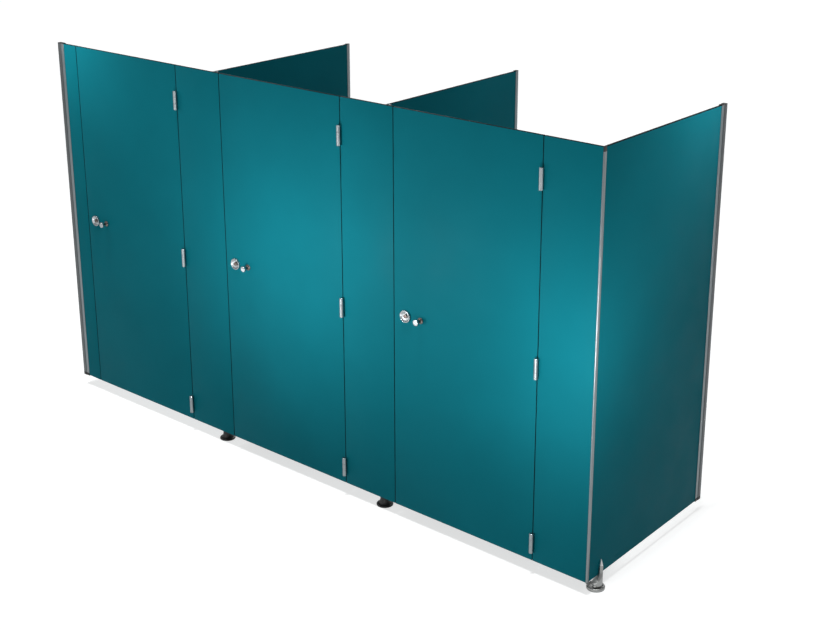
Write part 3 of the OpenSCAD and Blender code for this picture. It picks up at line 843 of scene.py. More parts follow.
@dataclass
class Profiles:
    """Wall channels with their sliding covers, partition profiles, corner post and end caps."""

    palette: Palette
    channel_wall: float = 1.8
    cover_wall: float = 1.6  # also that of the partitions' wall channels
    lip: float = 0.35  # rounding of the profiles' edges
    wall_hole: float = 2.75  # radius of the holes for the wall screws
    driver_hole: float = 5.0  # radius of the covers' holes, through which they are driven
    post_wall: float = 2.0
    post_side: float = 6.0  # width of the corner post's tube along the front
    post_depth: float = 15.0
    post_round: float = 4.0  # radius of its outer corner
    flange: float = 24.0  # reach of its flanges
    board: float = 13.0

    def build(self) -> None:
        """Builds every profile."""
        wide, thin, screw, driver = self.channel_wall, self.cover_wall, self.wall_hole, self.driver_hole
        for node, opening, wall, pattern, hole in (
                ("left_wall_channel", RIGHT, wide, "left_wall", screw),
                ("left_channel_cover", RIGHT, thin, "left_wall", driver),
                ("end_wall_channel", OUTSIDE, wide, "end_panel_wall", screw),
                ("end_channel_cover", OUTSIDE, thin, "end_panel_wall", driver),
                ("rear_wall_channel_1", OUTSIDE, thin, "partition_1_wall", screw),
                ("rear_wall_channel_2", OUTSIDE, thin, "partition_2_wall", screw)):
            channel = self.channel(f"{node}_profile", *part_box(node), opening, wall)
            self.drill_pattern(channel, pattern, hole)
            # the channels fixed to the walls take the darker aluminium, which is painted shade
            inner = node.endswith("wall_channel")
            hand_over(dress(channel, self.palette.painted_shade_extrusion if inner else self.palette.extrusion), node)
        self.partition_profiles()
        self.corner_post()
        caps = copy_of_solid("profile_caps", "profile_cap_set")
        soften(caps, self.lip, segments=3)
        hand_over(dress(caps, self.palette.nylon), "profile_caps")

    def channel(self, name: str, low: Vector, high: Vector, opening: Vector, wall: float) -> Piece:
        """U-profile, open at both ends and to one side.

        Args:
            name: Name of the new object.
            low: Lowest corner, in metres.
            high: Highest corner, in metres.
            opening: Direction of its open side.
            wall: Thickness of its walls.

        Returns:
            The new object.
        """
        channel = block(name, low, high)
        remove_faces(channel, lambda face: max(abs(face.normal.z), face.normal.dot(opening)) > PARALLEL)
        thicken(channel, wall)
        soften(channel, self.lip)
        return channel

    def drill_pattern(self, channel: Piece, pattern: str, radius: float) -> None:
        """Drills a channel's web at the record's places for its wall screws.

        Args:
            channel: The profile.
            pattern: How its bolt patterns' names start.
            radius: Radius of the holes.
        """
        for mount in frame["record"]["mounts"]:
            if mount["name"].startswith(pattern + "_screws"):
                half = mount["dims"]["spacing_y_mm"] / 2
                for rise in (-half, half):
                    drill(channel, Vector(mount["pos_m"]) + mm(0, 0, rise), Vector(mount["axis"]), radius, 14)

    def partition_profiles(self) -> None:
        """U-profiles between the partitions and the pilasters."""
        low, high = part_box("partition_profiles")
        half = high.x - centre_of("partition_2").x
        pieces = []
        for middle in (centre_of("partition_1").x, centre_of("partition_2").x):
            pieces.append(self.channel("profile", Vector((middle - half, low.y, low.z)),
                                       Vector((middle + half, high.y, high.z)), INSIDE, self.channel_wall))
        pair = gather("partition_profile_pair", pieces)
        hand_over(dress(pair, self.palette.extrusion), "partition_profiles")

    def corner_post(self) -> None:
        """Tube with a round outer corner and two flanges for the boards that meet there."""
        low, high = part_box("corner_post")
        corner = Vector((high.x, low.y, low.z))
        top = Vector((0.0, 0.0, high.z - low.z))
        side, depth, wall, board = self.post_side, self.post_depth, self.post_wall, self.board
        tube = block("corner_post_tube", corner + mm(-side, 0, 0), corner + mm(0, depth, 0) + top)
        remove_faces(tube, lambda face: abs(face.normal.z) > PARALLEL)
        round_edges(tube, self.post_round, 8,
                    lambda edge: all((v.co.xy - corner.xy).length < 0.5 * MM for v in edge.verts))
        thicken(tube, wall)
        along = block("flange", corner + mm(-side - self.flange, board, 0),
                      corner + mm(-side + 1, depth, 0) + top)
        back = block("flange", corner + mm(-board - wall, board, 0),
                     corner + mm(-board, board + wall + self.flange, 0) + top)
        combine(along, back)
        combine(tube, along)
        soften(tube, self.lip)
        hand_over(dress(tube, self.palette.extrusion), "corner_post")


# ---------- hinges ----------


@dataclass
class BarrelHinge:
    """Barrel hinge in front of the joint, whose two leaves reach through it to the boards' inner face."""

    palette: Palette
    height: float = 97.0  # of the barrel with its caps
    barrel: float = 10.0  # radius
    pin: float = 4.0  # radius
    cap: float = 2.0  # height of the pin's domed caps
    gap: float = 0.4  # between two knuckles
    leaf: float = 2.4  # thickness of the leaves and straps
    width: float = 44.0  # reach of a leaf from the joint
    strap_gap: float = 1.5  # distance of a strap's far side from the joint's middle
    chamfer: float = 0.7
    corner: float = 6.0  # radius of a leaf's outer corners
    screw_in: float = 28.0  # from the joint to the outer screws
    screw_step: float = 8.0  # from there to the middle one
    screw_pitch: float = 30.0
    screw: Countersink = Countersink()
    play: float = 0.05

    def knuckle_height(self) -> float:
        """Height of one of the three knuckles."""
        return (self.height - 2 * self.cap - 2 * self.gap) / 3

    def knuckle(self, low: float, inner_y: float, side: int) -> Piece:
        """Knuckle with the strap that runs back to the leaf.

        Args:
            low: Height of its lower end above the hinge's middle.
            inner_y: Distance from the axis to the leaf's outer face.
            side: 1 on the pilaster, -1 on the door.

        Returns:
            The knuckle and its strap as one solid.
        """
        high = low + self.knuckle_height()
        bore, edge, r = self.pin + self.play, self.chamfer, self.barrel
        barrel = turned("knuckle", [(bore, low), (r - edge, low), (r, low + edge), (r, high - edge),
                                    (r - edge, high), (bore, high), (bore, low)], sides=56, bored=True)
        near, far = sorted((self.strap_gap * side, (self.strap_gap - self.leaf) * side))
        combine(barrel, block("strap", mm(near, r - 4, low), mm(far, inner_y + 1, high)))
        return barrel

    def plate(self, inner_y: float, side: int) -> Piece:
        """Leaf with round outer corners and three countersunk holes.

        Args:
            inner_y: Distance from the axis to the leaf's outer face.
            side: 1 on the pilaster, -1 on the door.

        Returns:
            The leaf.
        """
        half = self.height / 2 - 3
        near, far = sorted((self.strap_gap * side, self.width * side))
        plate = block("leaf", mm(near, inner_y, -half), mm(far, inner_y + self.leaf, half))
        round_edges(plate, self.corner, 8, lambda edge: runs_along(edge, INSIDE)
                    and abs(edge.verts[0].co.x) > self.width / 2 * MM)
        for row in (-1, 0, 1):
            x = side * (self.screw_in + (self.screw_step if row == 0 else 0))
            self.screw.cut(plate, mm(x, inner_y + self.leaf, row * self.screw_pitch), self.leaf + 1)
        return plate

    def leaf_with(self, knuckles: Sequence[float], inner_y: float, side: int) -> Piece:
        """Leaf with its knuckles.

        Args:
            knuckles: Lower end of each knuckle above the hinge's middle.
            inner_y: Distance from the axis to the leaf's outer face.
            side: 1 on the pilaster, -1 on the door.

        Returns:
            The leaf.
        """
        leaf = self.plate(inner_y, side)
        for low in knuckles:
            combine(leaf, self.knuckle(low, inner_y, side))
        soften(leaf, 0.3, angle=60.0)
        return dress(leaf, self.palette.brushed)

    def pin_with_caps(self) -> Piece:
        """Pin with a domed cap at both ends.

        Returns:
            The pin.
        """
        half, cap, r = self.height / 2, self.cap, self.barrel
        upper = [(self.pin, half - cap), (r, half - cap), (r, half - 0.9), (r - 0.5, half - 0.4),
                 (r - 1.4, half - 0.12), (r - 3, half)]
        lower = [(radius, -height) for radius, height in reversed(upper)]
        return dress(turned("hinge_pin", lower + upper, sides=56), self.palette.turned)

    def build(self) -> None:
        """Builds three hinges for each door."""
        inner_y = (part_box("door_panel_1")[1].y - joint_place("door_1_hinge").y) / MM
        first = -self.height / 2 + self.cap
        frame_leaf = self.leaf_with((first, -first - self.knuckle_height()), inner_y, 1)
        door_leaf = self.leaf_with((-self.knuckle_height() / 2,), inner_y, -1)
        pin = self.pin_with_caps()
        pins = []
        for k in DOORS:
            axis = joint_place(f"door_{k}_hinge")
            heights = sorted((low.z + high.z) / 2 for low, high, _ in solids_of(f"door_leaves_{k}"))
            places = [Vector((axis.x, axis.y, z)) for z in heights]
            for model, node in ((frame_leaf, f"frame_leaves_{k}"), (door_leaf, f"door_leaves_{k}")):
                copies = [placed(copy_of(model, "leaf_copy"), place) for place in places]
                hand_over(gather(f"{node}_set", copies), node)
            pins += [placed(copy_of(pin, "pin_copy"), place) for place in places]
        hand_over(gather("hinge_pin_set", pins), "hinge_pins")
        discard(frame_leaf, door_leaf, pin)


# ---------- knobs and locks ----------


@dataclass
class PullKnobs:
    """Slim round pull knob outside and a mushroom knob inside, on one bolt through the door."""

    palette: Palette
    radius: float = 15.0
    out: float = 39.0  # from the door to the outer knob's face
    waist: float = 7.0  # radius of its neck
    head: float = 13.0  # depth of its head in the bright turned metal; below it the darker metal is painted shade and reflection
    board: float = 13.0
    bolt: float = 3.0  # radius

    def outer(self) -> Piece:
        """Outer knob: flange, slim neck that flares out, and a thick round head with a domed face.

        Returns:
            The knob.
        """
        r, out, waist = self.radius, self.out, self.waist
        flare = r - 1.2 - waist
        rings = [(self.bolt, -self.board - 8), (self.bolt, 0.0), (r - 0.7, 0.0), (r, 0.7), (r, 2.7),
                 (r - 0.6, 3.8), (r - 2.6, 4.8), (8.8, 5.9), (7.5, 7.2), (waist, 9.0), (waist, out - 22)]
        rings += arc((waist + flare, out - 21), flare, 171, 90, 9, rise=9.2)
        rings += [(r - 0.3, out - 11.2), (r, out - 10.4), (r, out - 3.8)]
        rings += arc((r - 3.4, out - 3.8), 3.4, 12, 84, 6)
        rings += [(7.5, out - 0.2), (3.0, out - 0.03), (0.5, out)]
        return turned("outer_knob", rings, sides=80)

    def inner(self) -> Piece:
        """Inner knob: small mushroom, bored for the bolt.

        Returns:
            The knob.
        """
        bore = self.bolt + 0.05
        rings = [(bore, 9.0), (bore, 0.0), (10.4, 0.0), (11.0, 0.6), (11.0, 2.4), (10.4, 3.2), (9.0, 4.0)]
        rings += arc((18.0, 5.0), 10.0, 180, 99, 9, rise=16.0)
        rings += arc((16.5, 25.0), 3.5, -50, 60, 5) + [(12.0, 30.3), (6.0, 31.2), (1.0, 31.5)]
        return turned("inner_knob", rings, sides=72)

    def build(self) -> None:
        """Builds the knobs of every door."""
        # below its head the outer knob takes the darker metal, painted shade and reflection on its neck and flange
        looks = self.palette.turned, self.palette.nickel
        outer = dress(self.outer(), *looks, second=lambda face: face.center.z < (self.out - self.head) * MM)
        inner = dress(self.inner(), *looks)
        for k in DOORS:
            low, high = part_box(f"door_panel_{k}")
            middle = centre_of(f"pull_knobs_{k}")
            pieces = [placed(copy_of(outer, "knob"), Vector((middle.x, low.y, middle.z)), OUTSIDE),
                      placed(copy_of(inner, "knob"), Vector((middle.x, high.y, middle.z)), INSIDE)]
            hand_over(gather(f"pull_knob_pair_{k}", pieces), f"pull_knobs_{k}")
        discard(outer, inner)


@dataclass
class RotaryLock:
    """Rotary lock: rosette with a coin release, inner case with a thumb turn, and a cam-driven bolt."""

    palette: Palette
    board: float = 13.0
    rosette: float = 29.0  # radius
    rim: float = 10.0  # height of the rosette's rim
    dish_floor: float = 3.6
    floor_radius: float = 11.0
    bore: float = 9.0  # radius of the door's hole
    neck: float = 7.0  # radius of the release's neck
    button: float = 10.0  # radius of the release's button
    button_out: float = 8.0
    coin_slot: float = 1.8  # width
    spindle: float = 4.5  # radius
    spindle_end: float = 15.0  # depth in the case
    play: float = 0.05
    case_wall: float = 2.0
    case_lug: float = 16.0  # solid end of the case, which takes two screws
    case_corner: float = 5.0
    nose: float = 8.4  # half the height of the mouth for the bolt's nose
    turn_neck: float = 9.0  # radius
    turn_out: float = 24.0
    cam_offset: float = 11.0  # of the eccentric pin along both axes
    cam_pin: float = 2.5  # radius
    bolt_y: float = 4.0  # from the door's inner face to the bolt
    bolt_t: float = 6.0
    screw: Countersink = Countersink()

    def rosette_ring(self) -> Piece:
        """Rosette: rolled rim round a shallow dish, turned, with a sleeve that sits in the door's hole.

        Returns:
            The rosette.
        """
        bore, r, rim, back = self.neck + self.play, self.rosette, self.rim, -self.board - 0.5
        dish, floor, flat = r - 3.5, self.dish_floor, self.floor_radius
        rings = [(bore, back), (self.bore - 0.1, back), (self.bore - 0.1, 0.0), (r - 0.4, 0.0), (r, 0.4),
                 (r, rim - 2.6)]
        rings += arc((r - 2.6, rim - 2.6), 2.6, 15, 95, 7)
        rings += [(flat + (dish - flat) * share, floor + (rim - 0.4 - floor) * share ** 2)
                  for share in [1 - i / 14 for i in range(15)]]
        rings += [(bore + 0.4, floor), (bore, floor - 0.4), (bore, back)]
        return turned("rosette", rings, sides=96, bored=True)

    def release(self) -> Piece:
        """Emergency release: domed button with a coin slot, on the spindle that drives the thumb turn.

        Returns:
            The button with its spindle.
        """
        r, out, low, back = self.button, self.button_out, self.dish_floor + 0.4, -self.board - 1
        rings = [(self.spindle, -self.board - self.spindle_end), (self.spindle, back), (self.neck, back),
                 (self.neck, low), (r - 0.3, low), (r, low + 0.3), (r, out - 1.8)]
        rings += arc((r - 1.6, out - 1.8), 1.6, 12, 78, 5)
        button = turned("release", rings + [(r - 4.0, out - 0.1), (0.6, out)], sides=72)
        half = self.coin_slot / 2
        coin_slot = block("coin_slot", mm(-half, -r - 1, out - 2), mm(half, r + 1, out + 1))
        combine(button, coin_slot, "DIFFERENCE")
        soften(button, 0.12, angle=60.0)
        return button

    def thumb_turn(self, depth: float) -> Piece:
        """Inner thumb turn with its cam plate and eccentric pin; Z points out of the case.

        Args:
            depth: Depth of the case.

        Returns:
            The thumb turn, bored for the release's spindle.
        """
        cam_z = self.bolt_y + self.bolt_t + 1
        cam_r = self.cam_offset * math.sqrt(2) + self.cam_pin + 1
        neck, bore_r = self.turn_neck, self.spindle + self.play
        body = turned("thumb_turn", [
            (cam_r, cam_z), (cam_r, cam_z + 3), (neck, cam_z + 3), (neck, depth + 0.4), (13.4, depth + 0.4),
            (14.0, depth + 1.0), (14.0, depth + 3.2), (13.2, depth + 4.0)])
        pin = turned("cam_pin", [(self.cam_pin, self.bolt_y - 1), (self.cam_pin, cam_z + 1)], sides=32)
        combine(body, placed(pin, mm(-self.cam_offset, self.cam_offset, 0)))
        combine(body, self.grip(depth))
        bore = turned("bore", [(bore_r, cam_z - 1), (bore_r, self.spindle_end + 1)], sides=40)
        combine(body, bore, "DIFFERENCE")
        return body

    def grip(self, depth: float) -> Piece:
        """Oval grip with waisted flanks.

        Args:
            depth: Depth of the case.

        Returns:
            The grip.
        """
        low, high = depth + 3.5, depth + 4 + self.turn_out
        grip = block("grip", mm(-18, -6, low), mm(18, 6, high))
        round_edges(grip, 5.9, 10, lambda edge: runs_along(edge, UP))
        for side in (-1, 1):
            hollow = turned("hollow", [(24.0, low - 2), (24.0, high + 2)], sides=96)
            combine(grip, placed(hollow, mm(0, side * 28, 0)), "DIFFERENCE")
        soften(grip, 1.0, segments=3, angle=50.0)
        return grip

    def case(self, k: int) -> Piece:
        """Case on the door's inner face: room for the cam and the yoke, and a mouth for the bolt's nose.

        Args:
            k: The door's number.

        Returns:
            The case.
        """
        low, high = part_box(f"lock_case_{k}")
        axis = joint_place(f"lock_{k}_turn")
        lug, wall, nose = self.case_lug * MM, self.case_wall * MM, self.nose * MM
        slot_low, slot_high = low.y + (self.bolt_y - 0.4) * MM, low.y + (self.bolt_y + self.bolt_t + 0.4) * MM
        case = rounded_block(f"lock_case_{k}_cover", low, high, self.case_corner)
        room = block("room", low + Vector((lug, -wall, wall)), high - Vector((lug, wall, wall)))
        mouth = block("mouth", Vector((low.x - wall, slot_low, axis.z - nose)),
                      Vector((low.x + lug + wall, slot_high, axis.z + nose)))
        for cutter in (room, mouth):
            combine(case, cutter, "DIFFERENCE")
        drill(case, Vector((axis.x, high.y, axis.z)), INSIDE, self.turn_neck + self.play, 8)
        for screw_low, screw_high, _ in solids_of(f"door_screws_{k}"):
            if screw_high.y - low.y > 10 * MM:  # the case's screws are the longest ones in the door
                middle = (screw_low + screw_high) / 2
                self.screw.cut(case, Vector((middle.x, screw_high.y, middle.z)), 40.0)
        soften(case, 0.8, segments=3, angle=60.0)
        return case

    def build(self) -> None:
        """Builds the lock of every door."""
        low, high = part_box("lock_case_1")
        rosette, release = self.rosette_ring(), self.release()
        turn = self.thumb_turn((high.y - low.y) / MM)
        # the release button takes the darker metal: a painted dark reflection and shade in the rosette's dish
        for model, look in ((rosette, self.palette.turned), (release, self.palette.nickel),
                            (turn, self.palette.turned)):
            dress(model, look)
        for k in DOORS:
            axis = joint_place(f"lock_{k}_turn")
            front = Vector((axis.x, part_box(f"door_panel_{k}")[0].y, axis.z))
            hand_over(placed(copy_of(rosette, f"lock_rosette_{k}"), front, OUTSIDE), f"lock_rose_{k}")
            hand_over(placed(copy_of(release, f"lock_release_{k}"), front, OUTSIDE), f"lock_knob_{k}")
            hand_over(placed(copy_of(turn, f"thumb_turn_{k}_grip"), axis, INSIDE), f"thumb_turn_{k}")
            hand_over(dress(self.case(k), self.palette.brushed_across), f"lock_case_{k}")
            bolt = copy_of_solid(f"lock_bolt_{k}", f"lock_bolt_{k}_bar")
            soften(bolt, 0.4)
            hand_over(dress(bolt, self.palette.brushed_across), f"lock_bolt_{k}")
        discard(rosette, release, turn)


@dataclass
class KeepersAndStops:
    """Bent keepers that catch the bolts, and rubber stops behind the doors' edges."""

    palette: Palette
    strip: float = 2.5  # thickness of a keeper's strip
    width: float = 28.0  # of the strip
    inner_half: float = 10.0  # half the height of the way under the keeper
    foot: float = 20.0  # length of each of its feet
    bridge: float = 12.0  # depth of the way under it
    bend: float = 1.6  # radius of its bends
    screw_hole: float = 2.1  # radius
    stop: Ring = (30.0, 6.0)  # width and thickness of a stop's block on the fixed board
    tongue: tuple[float, float, float] = (24.0, 48.0, 8.0)  # its start, its end and its thickness
    lift: float = 0.3  # of the tongue off the board
    screw_in: float = 15.0

    def keeper(self) -> Piece:
        """Hat-shaped keeper with its middle on the X axis and its back on Y = 0.

        Returns:
            The keeper.
        """
        t, half = self.strip, self.inner_half + self.strip / 2
        legs = ((0.0, self.foot - t / 2), (self.bridge, 0.0), (0.0, 2 * half), (-self.bridge, 0.0),
                (0.0, self.foot - t / 2))
        strap = bent_strip("keeper", self.width, legs, t, self.bend)
        placed(strap, mm(0, t / 2, -half - self.foot + t / 2))
        for side in (-1, 1):
            place = mm(0, t / 2, side * (self.inner_half + 2 + self.foot / 2))
            drill(strap, place, INSIDE, self.screw_hole, 3 * t)
        round_edges(strap, 3.5, 6, lambda edge: runs_along(edge, INSIDE)
                    and abs(edge.verts[0].co.z) > (half + 10) * MM
                    and abs(edge.verts[0].co.x) > (self.width / 2 - 1) * MM)
        soften(strap, 0.3, angle=60.0)
        return dress(strap, self.palette.brushed)

    def stop_block(self, low: Vector, high: Vector) -> Piece:
        """Rubber stop behind a door's edge.

        Args:
            low: Lowest corner, in metres.
            high: Highest corner, in metres.

        Returns:
            The stop.
        """
        width, thickness = self.stop
        start, end, tongue = self.tongue
        rise = Vector((0.0, 0.0, high.z - low.z))
        body = block("stop", low, low + mm(width, thickness, 0) + rise)
        combine(body, block("tongue", low + mm(start, self.lift, 0),
                            low + mm(end, self.lift + tongue, 0) + rise))
        drill(body, low + mm(self.screw_in, 0, 0) + rise / 2, INSIDE, self.screw_hole, 4 * thickness)
        soften(body, 1.4, segments=4, angle=50.0)
        return body

    def build(self) -> None:
        """Builds the keepers and the stops."""
        model = self.keeper()
        places = [Vector(((low.x + high.x) / 2, low.y, (low.z + high.z) / 2))
                  for low, high, _ in solids_of("lock_keepers")]
        keepers = [placed(copy_of(model, "keeper"), place) for place in places]
        hand_over(gather("lock_keeper_set", keepers), "lock_keepers")
        discard(model)
        stops = [self.stop_block(low, high) for low, high, _ in solids_of("door_stops")]
        hand_over(dress(gather("door_stop_set", stops), self.palette.rubber), "door_stops")


# ---------- feet ----------


@dataclass
class Feet:
    """Two bell-shaped nylon feet on brackets and one stainless foot under the outer corner."""

    palette: Palette
    plate: float = 41.0  # radius of the feet's plates
    stem: float = 5.0  # radius
    hole: float = 5.05  # radius of what runs round a stem
    bell_top: float = 52.0
    bell_neck: float = 22.0  # radius
    bell_hole: float = 12.0  # height of the bottom of the bell's hole
    pitch: float = 1.5  # of the stems' thread
    thread: float = 0.75  # radius of the three-cornered wire that makes it
    nut_across: float = 17.0
    nut_height: float = 5.0
    boss: float = 13.0  # radius of the bracket's boss, which reaches from boss_low to boss_high
    boss_low: float = 64.0
    boss_high: float = 106.0
    web_low: float = 75.0  # lower end of the bracket's plate and web
    bracket_plate: float = 5.0
    bracket_corner: float = 6.0
    screw_hole: float = 2.1  # radius
    rib: float = 5.0
    rib_foot: float = 16.0  # height of a rib at the boss
    rib_below: float = 6.0  # from the plate's top down to the rib's
    bracket_screws: tuple[Ring, ...] = ((-26.0, 107.0), (26.0, 107.0), (-26.0, 140.0), (26.0, 140.0))
    shell: float = 24.0  # radius of the end foot's shell
    shell_place: Ring = (5.0, 2.5)  # from the stem's axis, as is the next one
    column_place: Ring = (15.0, 12.5)
    column: float = 9.5  # radius
    column_high: float = 110.0
    flank_low: float = 26.0
    flank_high: float = 81.0
    hollow: float = 0.15  # share of a round hollow in the flank, which is a cone otherwise
    bore_high: float = 42.0

    def bracket(self, node: str, axis: Vector) -> Piece:
        """Moulded bracket: plate on the board, boss round the stem, web and two ribs.

        Args:
            node: The bracket's CAD node.
            axis: Foot of the stem's axis on the floor.

        Returns:
            The bracket.
        """
        low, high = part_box(node)
        web_z, boss = self.web_low * MM, self.boss * MM
        plate = rounded_block(f"{node}_moulding", Vector((low.x, low.y, web_z)),
                              Vector((high.x, low.y + self.bracket_plate * MM, high.z)),
                              self.bracket_corner)
        web = block("web", Vector((axis.x - boss, low.y, web_z)),
                    Vector((axis.x + boss, axis.y, self.boss_high * MM)))
        tube = turned("boss", [(self.boss, self.boss_low), (self.boss, self.boss_high)], sides=64)
        for part in (web, placed(tube, axis)):
            combine(plate, part)
        for side in (-1, 1):
            combine(plate, self.bracket_rib(low.y, high.z, axis, side))
        drill(plate, axis + mm(0, 0, self.web_low), UP, self.hole, 120)
        for x, z in self.bracket_screws:
            drill(plate, Vector((axis.x + x * MM, low.y, z * MM)), INSIDE, self.screw_hole, 24)
        soften(plate, 0.9, segments=3, angle=50.0)
        return plate

    def bracket_rib(self, back: float, top: float, axis: Vector, side: int) -> Piece:
        """Rib beside the boss, sloped from the plate's top down to the boss.

        Args:
            back: Y of the plate's back, in metres.
            top: Z of the plate's top, in metres.
            axis: Foot of the stem's axis on the floor.
            side: -1 on its left, 1 on its right.

        Returns:
            The rib.
        """
        x = axis.x + side * (self.boss + 2) * MM
        half, high = self.rib / 2 * MM, top - self.rib_below * MM
        rib = block("rib", Vector((x - half, back, self.web_low * MM)), Vector((x + half, axis.y, high)))
        with editing(rib, "EDGE"):
            pick(rib, "edges", lambda edge: runs_along(edge, RIGHT) and edge.verts[0].co.z > 120 * MM
                 and edge.verts[0].co.y > back + 10 * MM)
            bpy.ops.transform.translate(value=mm(0, 0, self.web_low + self.rib_foot - high / MM))
        return rib

    def bell(self) -> Piece:
        """Moulded bell base: flat rim, hollow flare and a collar round the stem.

        Returns:
            The bell.
        """
        r, top, neck, hole = self.plate, self.bell_top, self.bell_neck, self.hole
        flare = r - 3 - neck
        rings = [(r - 1.2, 0.0), (r - 0.3, 0.4), (r, 1.3), (r, 4.6), (r - 0.5, 6.0), (r - 1.8, 7.2)]
        rings += arc((neck + flare, 38.6), flare, 270, 180, 12, rise=30.0)
        rings += [(neck, top - 6.5), (neck - 0.8, top - 5.8), (neck - 0.8, top - 5.0), (neck, top - 4.3),
                  (neck, top - 2.4)]
        rings += arc((neck - 2.4, top - 2.4), 2.4, 15, 90, 5)
        rings += [(hole + 1.2, top), (hole, top - 1.2), (hole, self.bell_hole)]
        return turned("bell", rings, sides=96)

    def dish(self) -> Piece:
        """Cast plate of the end foot: rounded rim round a dish, with a boss for the stem.

        Returns:
            The plate.
        """
        r, hole = self.plate, self.hole
        rings = [(r - 1.8, 0.0), (r - 0.5, 0.5), (r, 1.8), (r, 8.4), (r - 0.3, 10.0), (r - 1.1, 11.7),
                 (r - 2.6, 13.1), (r - 4.6, 13.9), (r - 6.2, 13.9), (r - 8.0, 13.4), (r - 9.8, 12.1),
                 (r - 11.4, 10.2), (r - 13.0, 9.0), (15.4, 9.0), (13.4, 9.6), (12.2, 11.4), (11.8, 13.4),
                 (11.2, 14.0), (hole, 14.0), (hole, 4.0)]
        return turned("dish", rings, sides=96)

    def threaded_stem(self, low: float, high: float) -> Piece:
        """Stem with a rolled thread: a three-cornered wire wound round a core.

        Args:
            low: Height of its lower end.
            high: Height of its upper end.

        Returns:
            The stem.
        """
        tip, root = self.stem - 1.2, self.stem - 0.7
        core = turned("stem", [(tip, low), (root, low + 0.8), (root, high - 0.8), (tip, high)], sides=32)
        select_only()
        bpy.ops.mesh.primitive_circle_add(vertices=3, radius=self.thread * MM, fill_type="NOTHING",
                                          location=mm(self.stem - self.thread, 0, low + self.pitch),
                                          rotation=(math.pi / 2, 0.0, 0.0))
        thread = added("thread")
        turns = int((high - low) / self.pitch) - 2
        finish_with(thread, "SCREW", angle=2 * math.pi, screw_offset=self.pitch * MM, iterations=turns,
                    steps=20, render_steps=20, axis="Z", use_merge_vertices=False)
        with editing(thread):
            bpy.ops.mesh.select_all(action="SELECT")
            bpy.ops.mesh.normals_make_consistent(inside=False)
        return gather("threaded_stem", [core, thread])

    def lock_nut(self) -> Piece:
        """Hexagon nut on the bell, with both ends chamfered.

        Returns:
            The nut.
        """
        low, high, corner = self.bell_top, self.bell_top + self.nut_height, self.nut_across / math.sqrt(3)
        select_only()
        bpy.ops.mesh.primitive_cylinder_add(vertices=6, radius=corner * MM, depth=self.nut_height * MM,
                                            location=mm(0, 0, (low + high) / 2))
        nut = added("nut")
        rim = corner + 0.1
        combine(nut, turned("chamfer", [(corner - 1.0, low - 0.01), (rim, low + 0.9), (rim, high - 0.9),
                                        (corner - 1.0, high + 0.01)], sides=48), "INTERSECT")
        return nut

    def flank(self, low: float) -> list[Ring]:
        """Slightly hollow flank of the end foot's shell, from its widest ring up to the column.

        Args:
            low: Height of its lower end.

        Returns:
            Its rings.
        """
        spread = self.shell + math.dist(self.column_place, self.shell_place) + 1
        rings = [(spread, low)]
        for step in range(13):
            share, angle = step / 12, math.radians(90 * step / 12)
            inwards = share + self.hollow * (math.sin(angle) - share)
            upwards = share + self.hollow * (1 - math.cos(angle) - share)
            rings.append((spread - (spread - self.column) * inwards,
                          self.flank_low + (self.flank_high - self.flank_low) * upwards))
        return rings

    def spire(self) -> Piece:
        """Shell of the end foot: pointed column beside the panel, spreading over the round plate.

        Returns:
            The shell.
        """
        low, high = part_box("end_foot_shell")
        start, tip, column, collar = low.z / MM, high.z / MM, self.column, self.column_high
        point = [(column, collar - 0.8), (column - 0.25, collar + 0.3), (column - 1.0, collar + 1.6),
                 (0.9, tip - 0.9), (0.3, tip)]
        shell = turned("end_foot_spire", self.flank(start) + point, sides=128)
        placed(shell, mm(*self.column_place, 0))
        outline = turned("outline", [(self.shell - 0.8, start), (self.shell, start + 0.8),
                                     (self.shell, tip + 5)], sides=128)
        combine(shell, placed(outline, mm(*self.shell_place, 0)), "INTERSECT")
        drill(shell, mm(0, 0, 0), UP, self.hole, 2 * self.bore_high)
        middle = centre_of("foot_base_3")
        placed(shell, Vector((middle.x, middle.y, 0.0)))
        panel_low, panel_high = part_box("end_panel")
        slot = block("slot", Vector((panel_low.x - 0.1 * MM, panel_low.y - 0.1, panel_low.z)),
                     Vector((panel_high.x, panel_low.y + 0.3, high.z + 0.1)))
        combine(shell, slot, "DIFFERENCE")
        soften(shell, 0.5, angle=50.0)
        return shell

    def build(self) -> None:
        """Builds the three feet."""
        nylon, zinc, cast = self.palette.nylon, self.palette.zinc, self.palette.cast
        places = {}
        for k in (1, 2, 3):
            low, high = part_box(f"foot_base_{k}")
            places[k] = Vector(((low.x + high.x) / 2, (low.y + high.y) / 2, low.z))
        bell = dress(self.bell(), nylon)
        for k in (1, 2):
            hand_over(placed(copy_of(bell, f"foot_base_{k}_bell"), places[k]), f"foot_base_{k}")
            axis = Vector((places[k].x, places[k].y, 0.0))
            stem_low, stem_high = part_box(f"foot_stem_{k}")
            parts = [self.threaded_stem(stem_low.z / MM, stem_high.z / MM), self.lock_nut()]
            hand_over(dress(placed(gather(f"foot_stem_{k}_threaded", parts), axis), zinc), f"foot_stem_{k}")
            hand_over(dress(self.bracket(f"foot_bracket_{k}", axis), nylon), f"foot_bracket_{k}")
        discard(bell)
        hand_over(dress(placed(self.dish(), places[3]), cast), "foot_base_3")
        stem = frame["nodes"]["foot_stem_3"]
        stem.data.materials.clear()
        stem.data.materials.append(zinc.material())
        LOG.info("foot_stem_3 keeps its CAD shape in %s", zinc.name)
        # the point above the column takes the near-white metal: a painted highlight
        hand_over(dress(self.spire(), cast, self.palette.polished, angle=40.0,
                        second=lambda face: face.center.z > (self.column_high + 1) * MM), "end_foot_shell")


# ---------- screws ----------


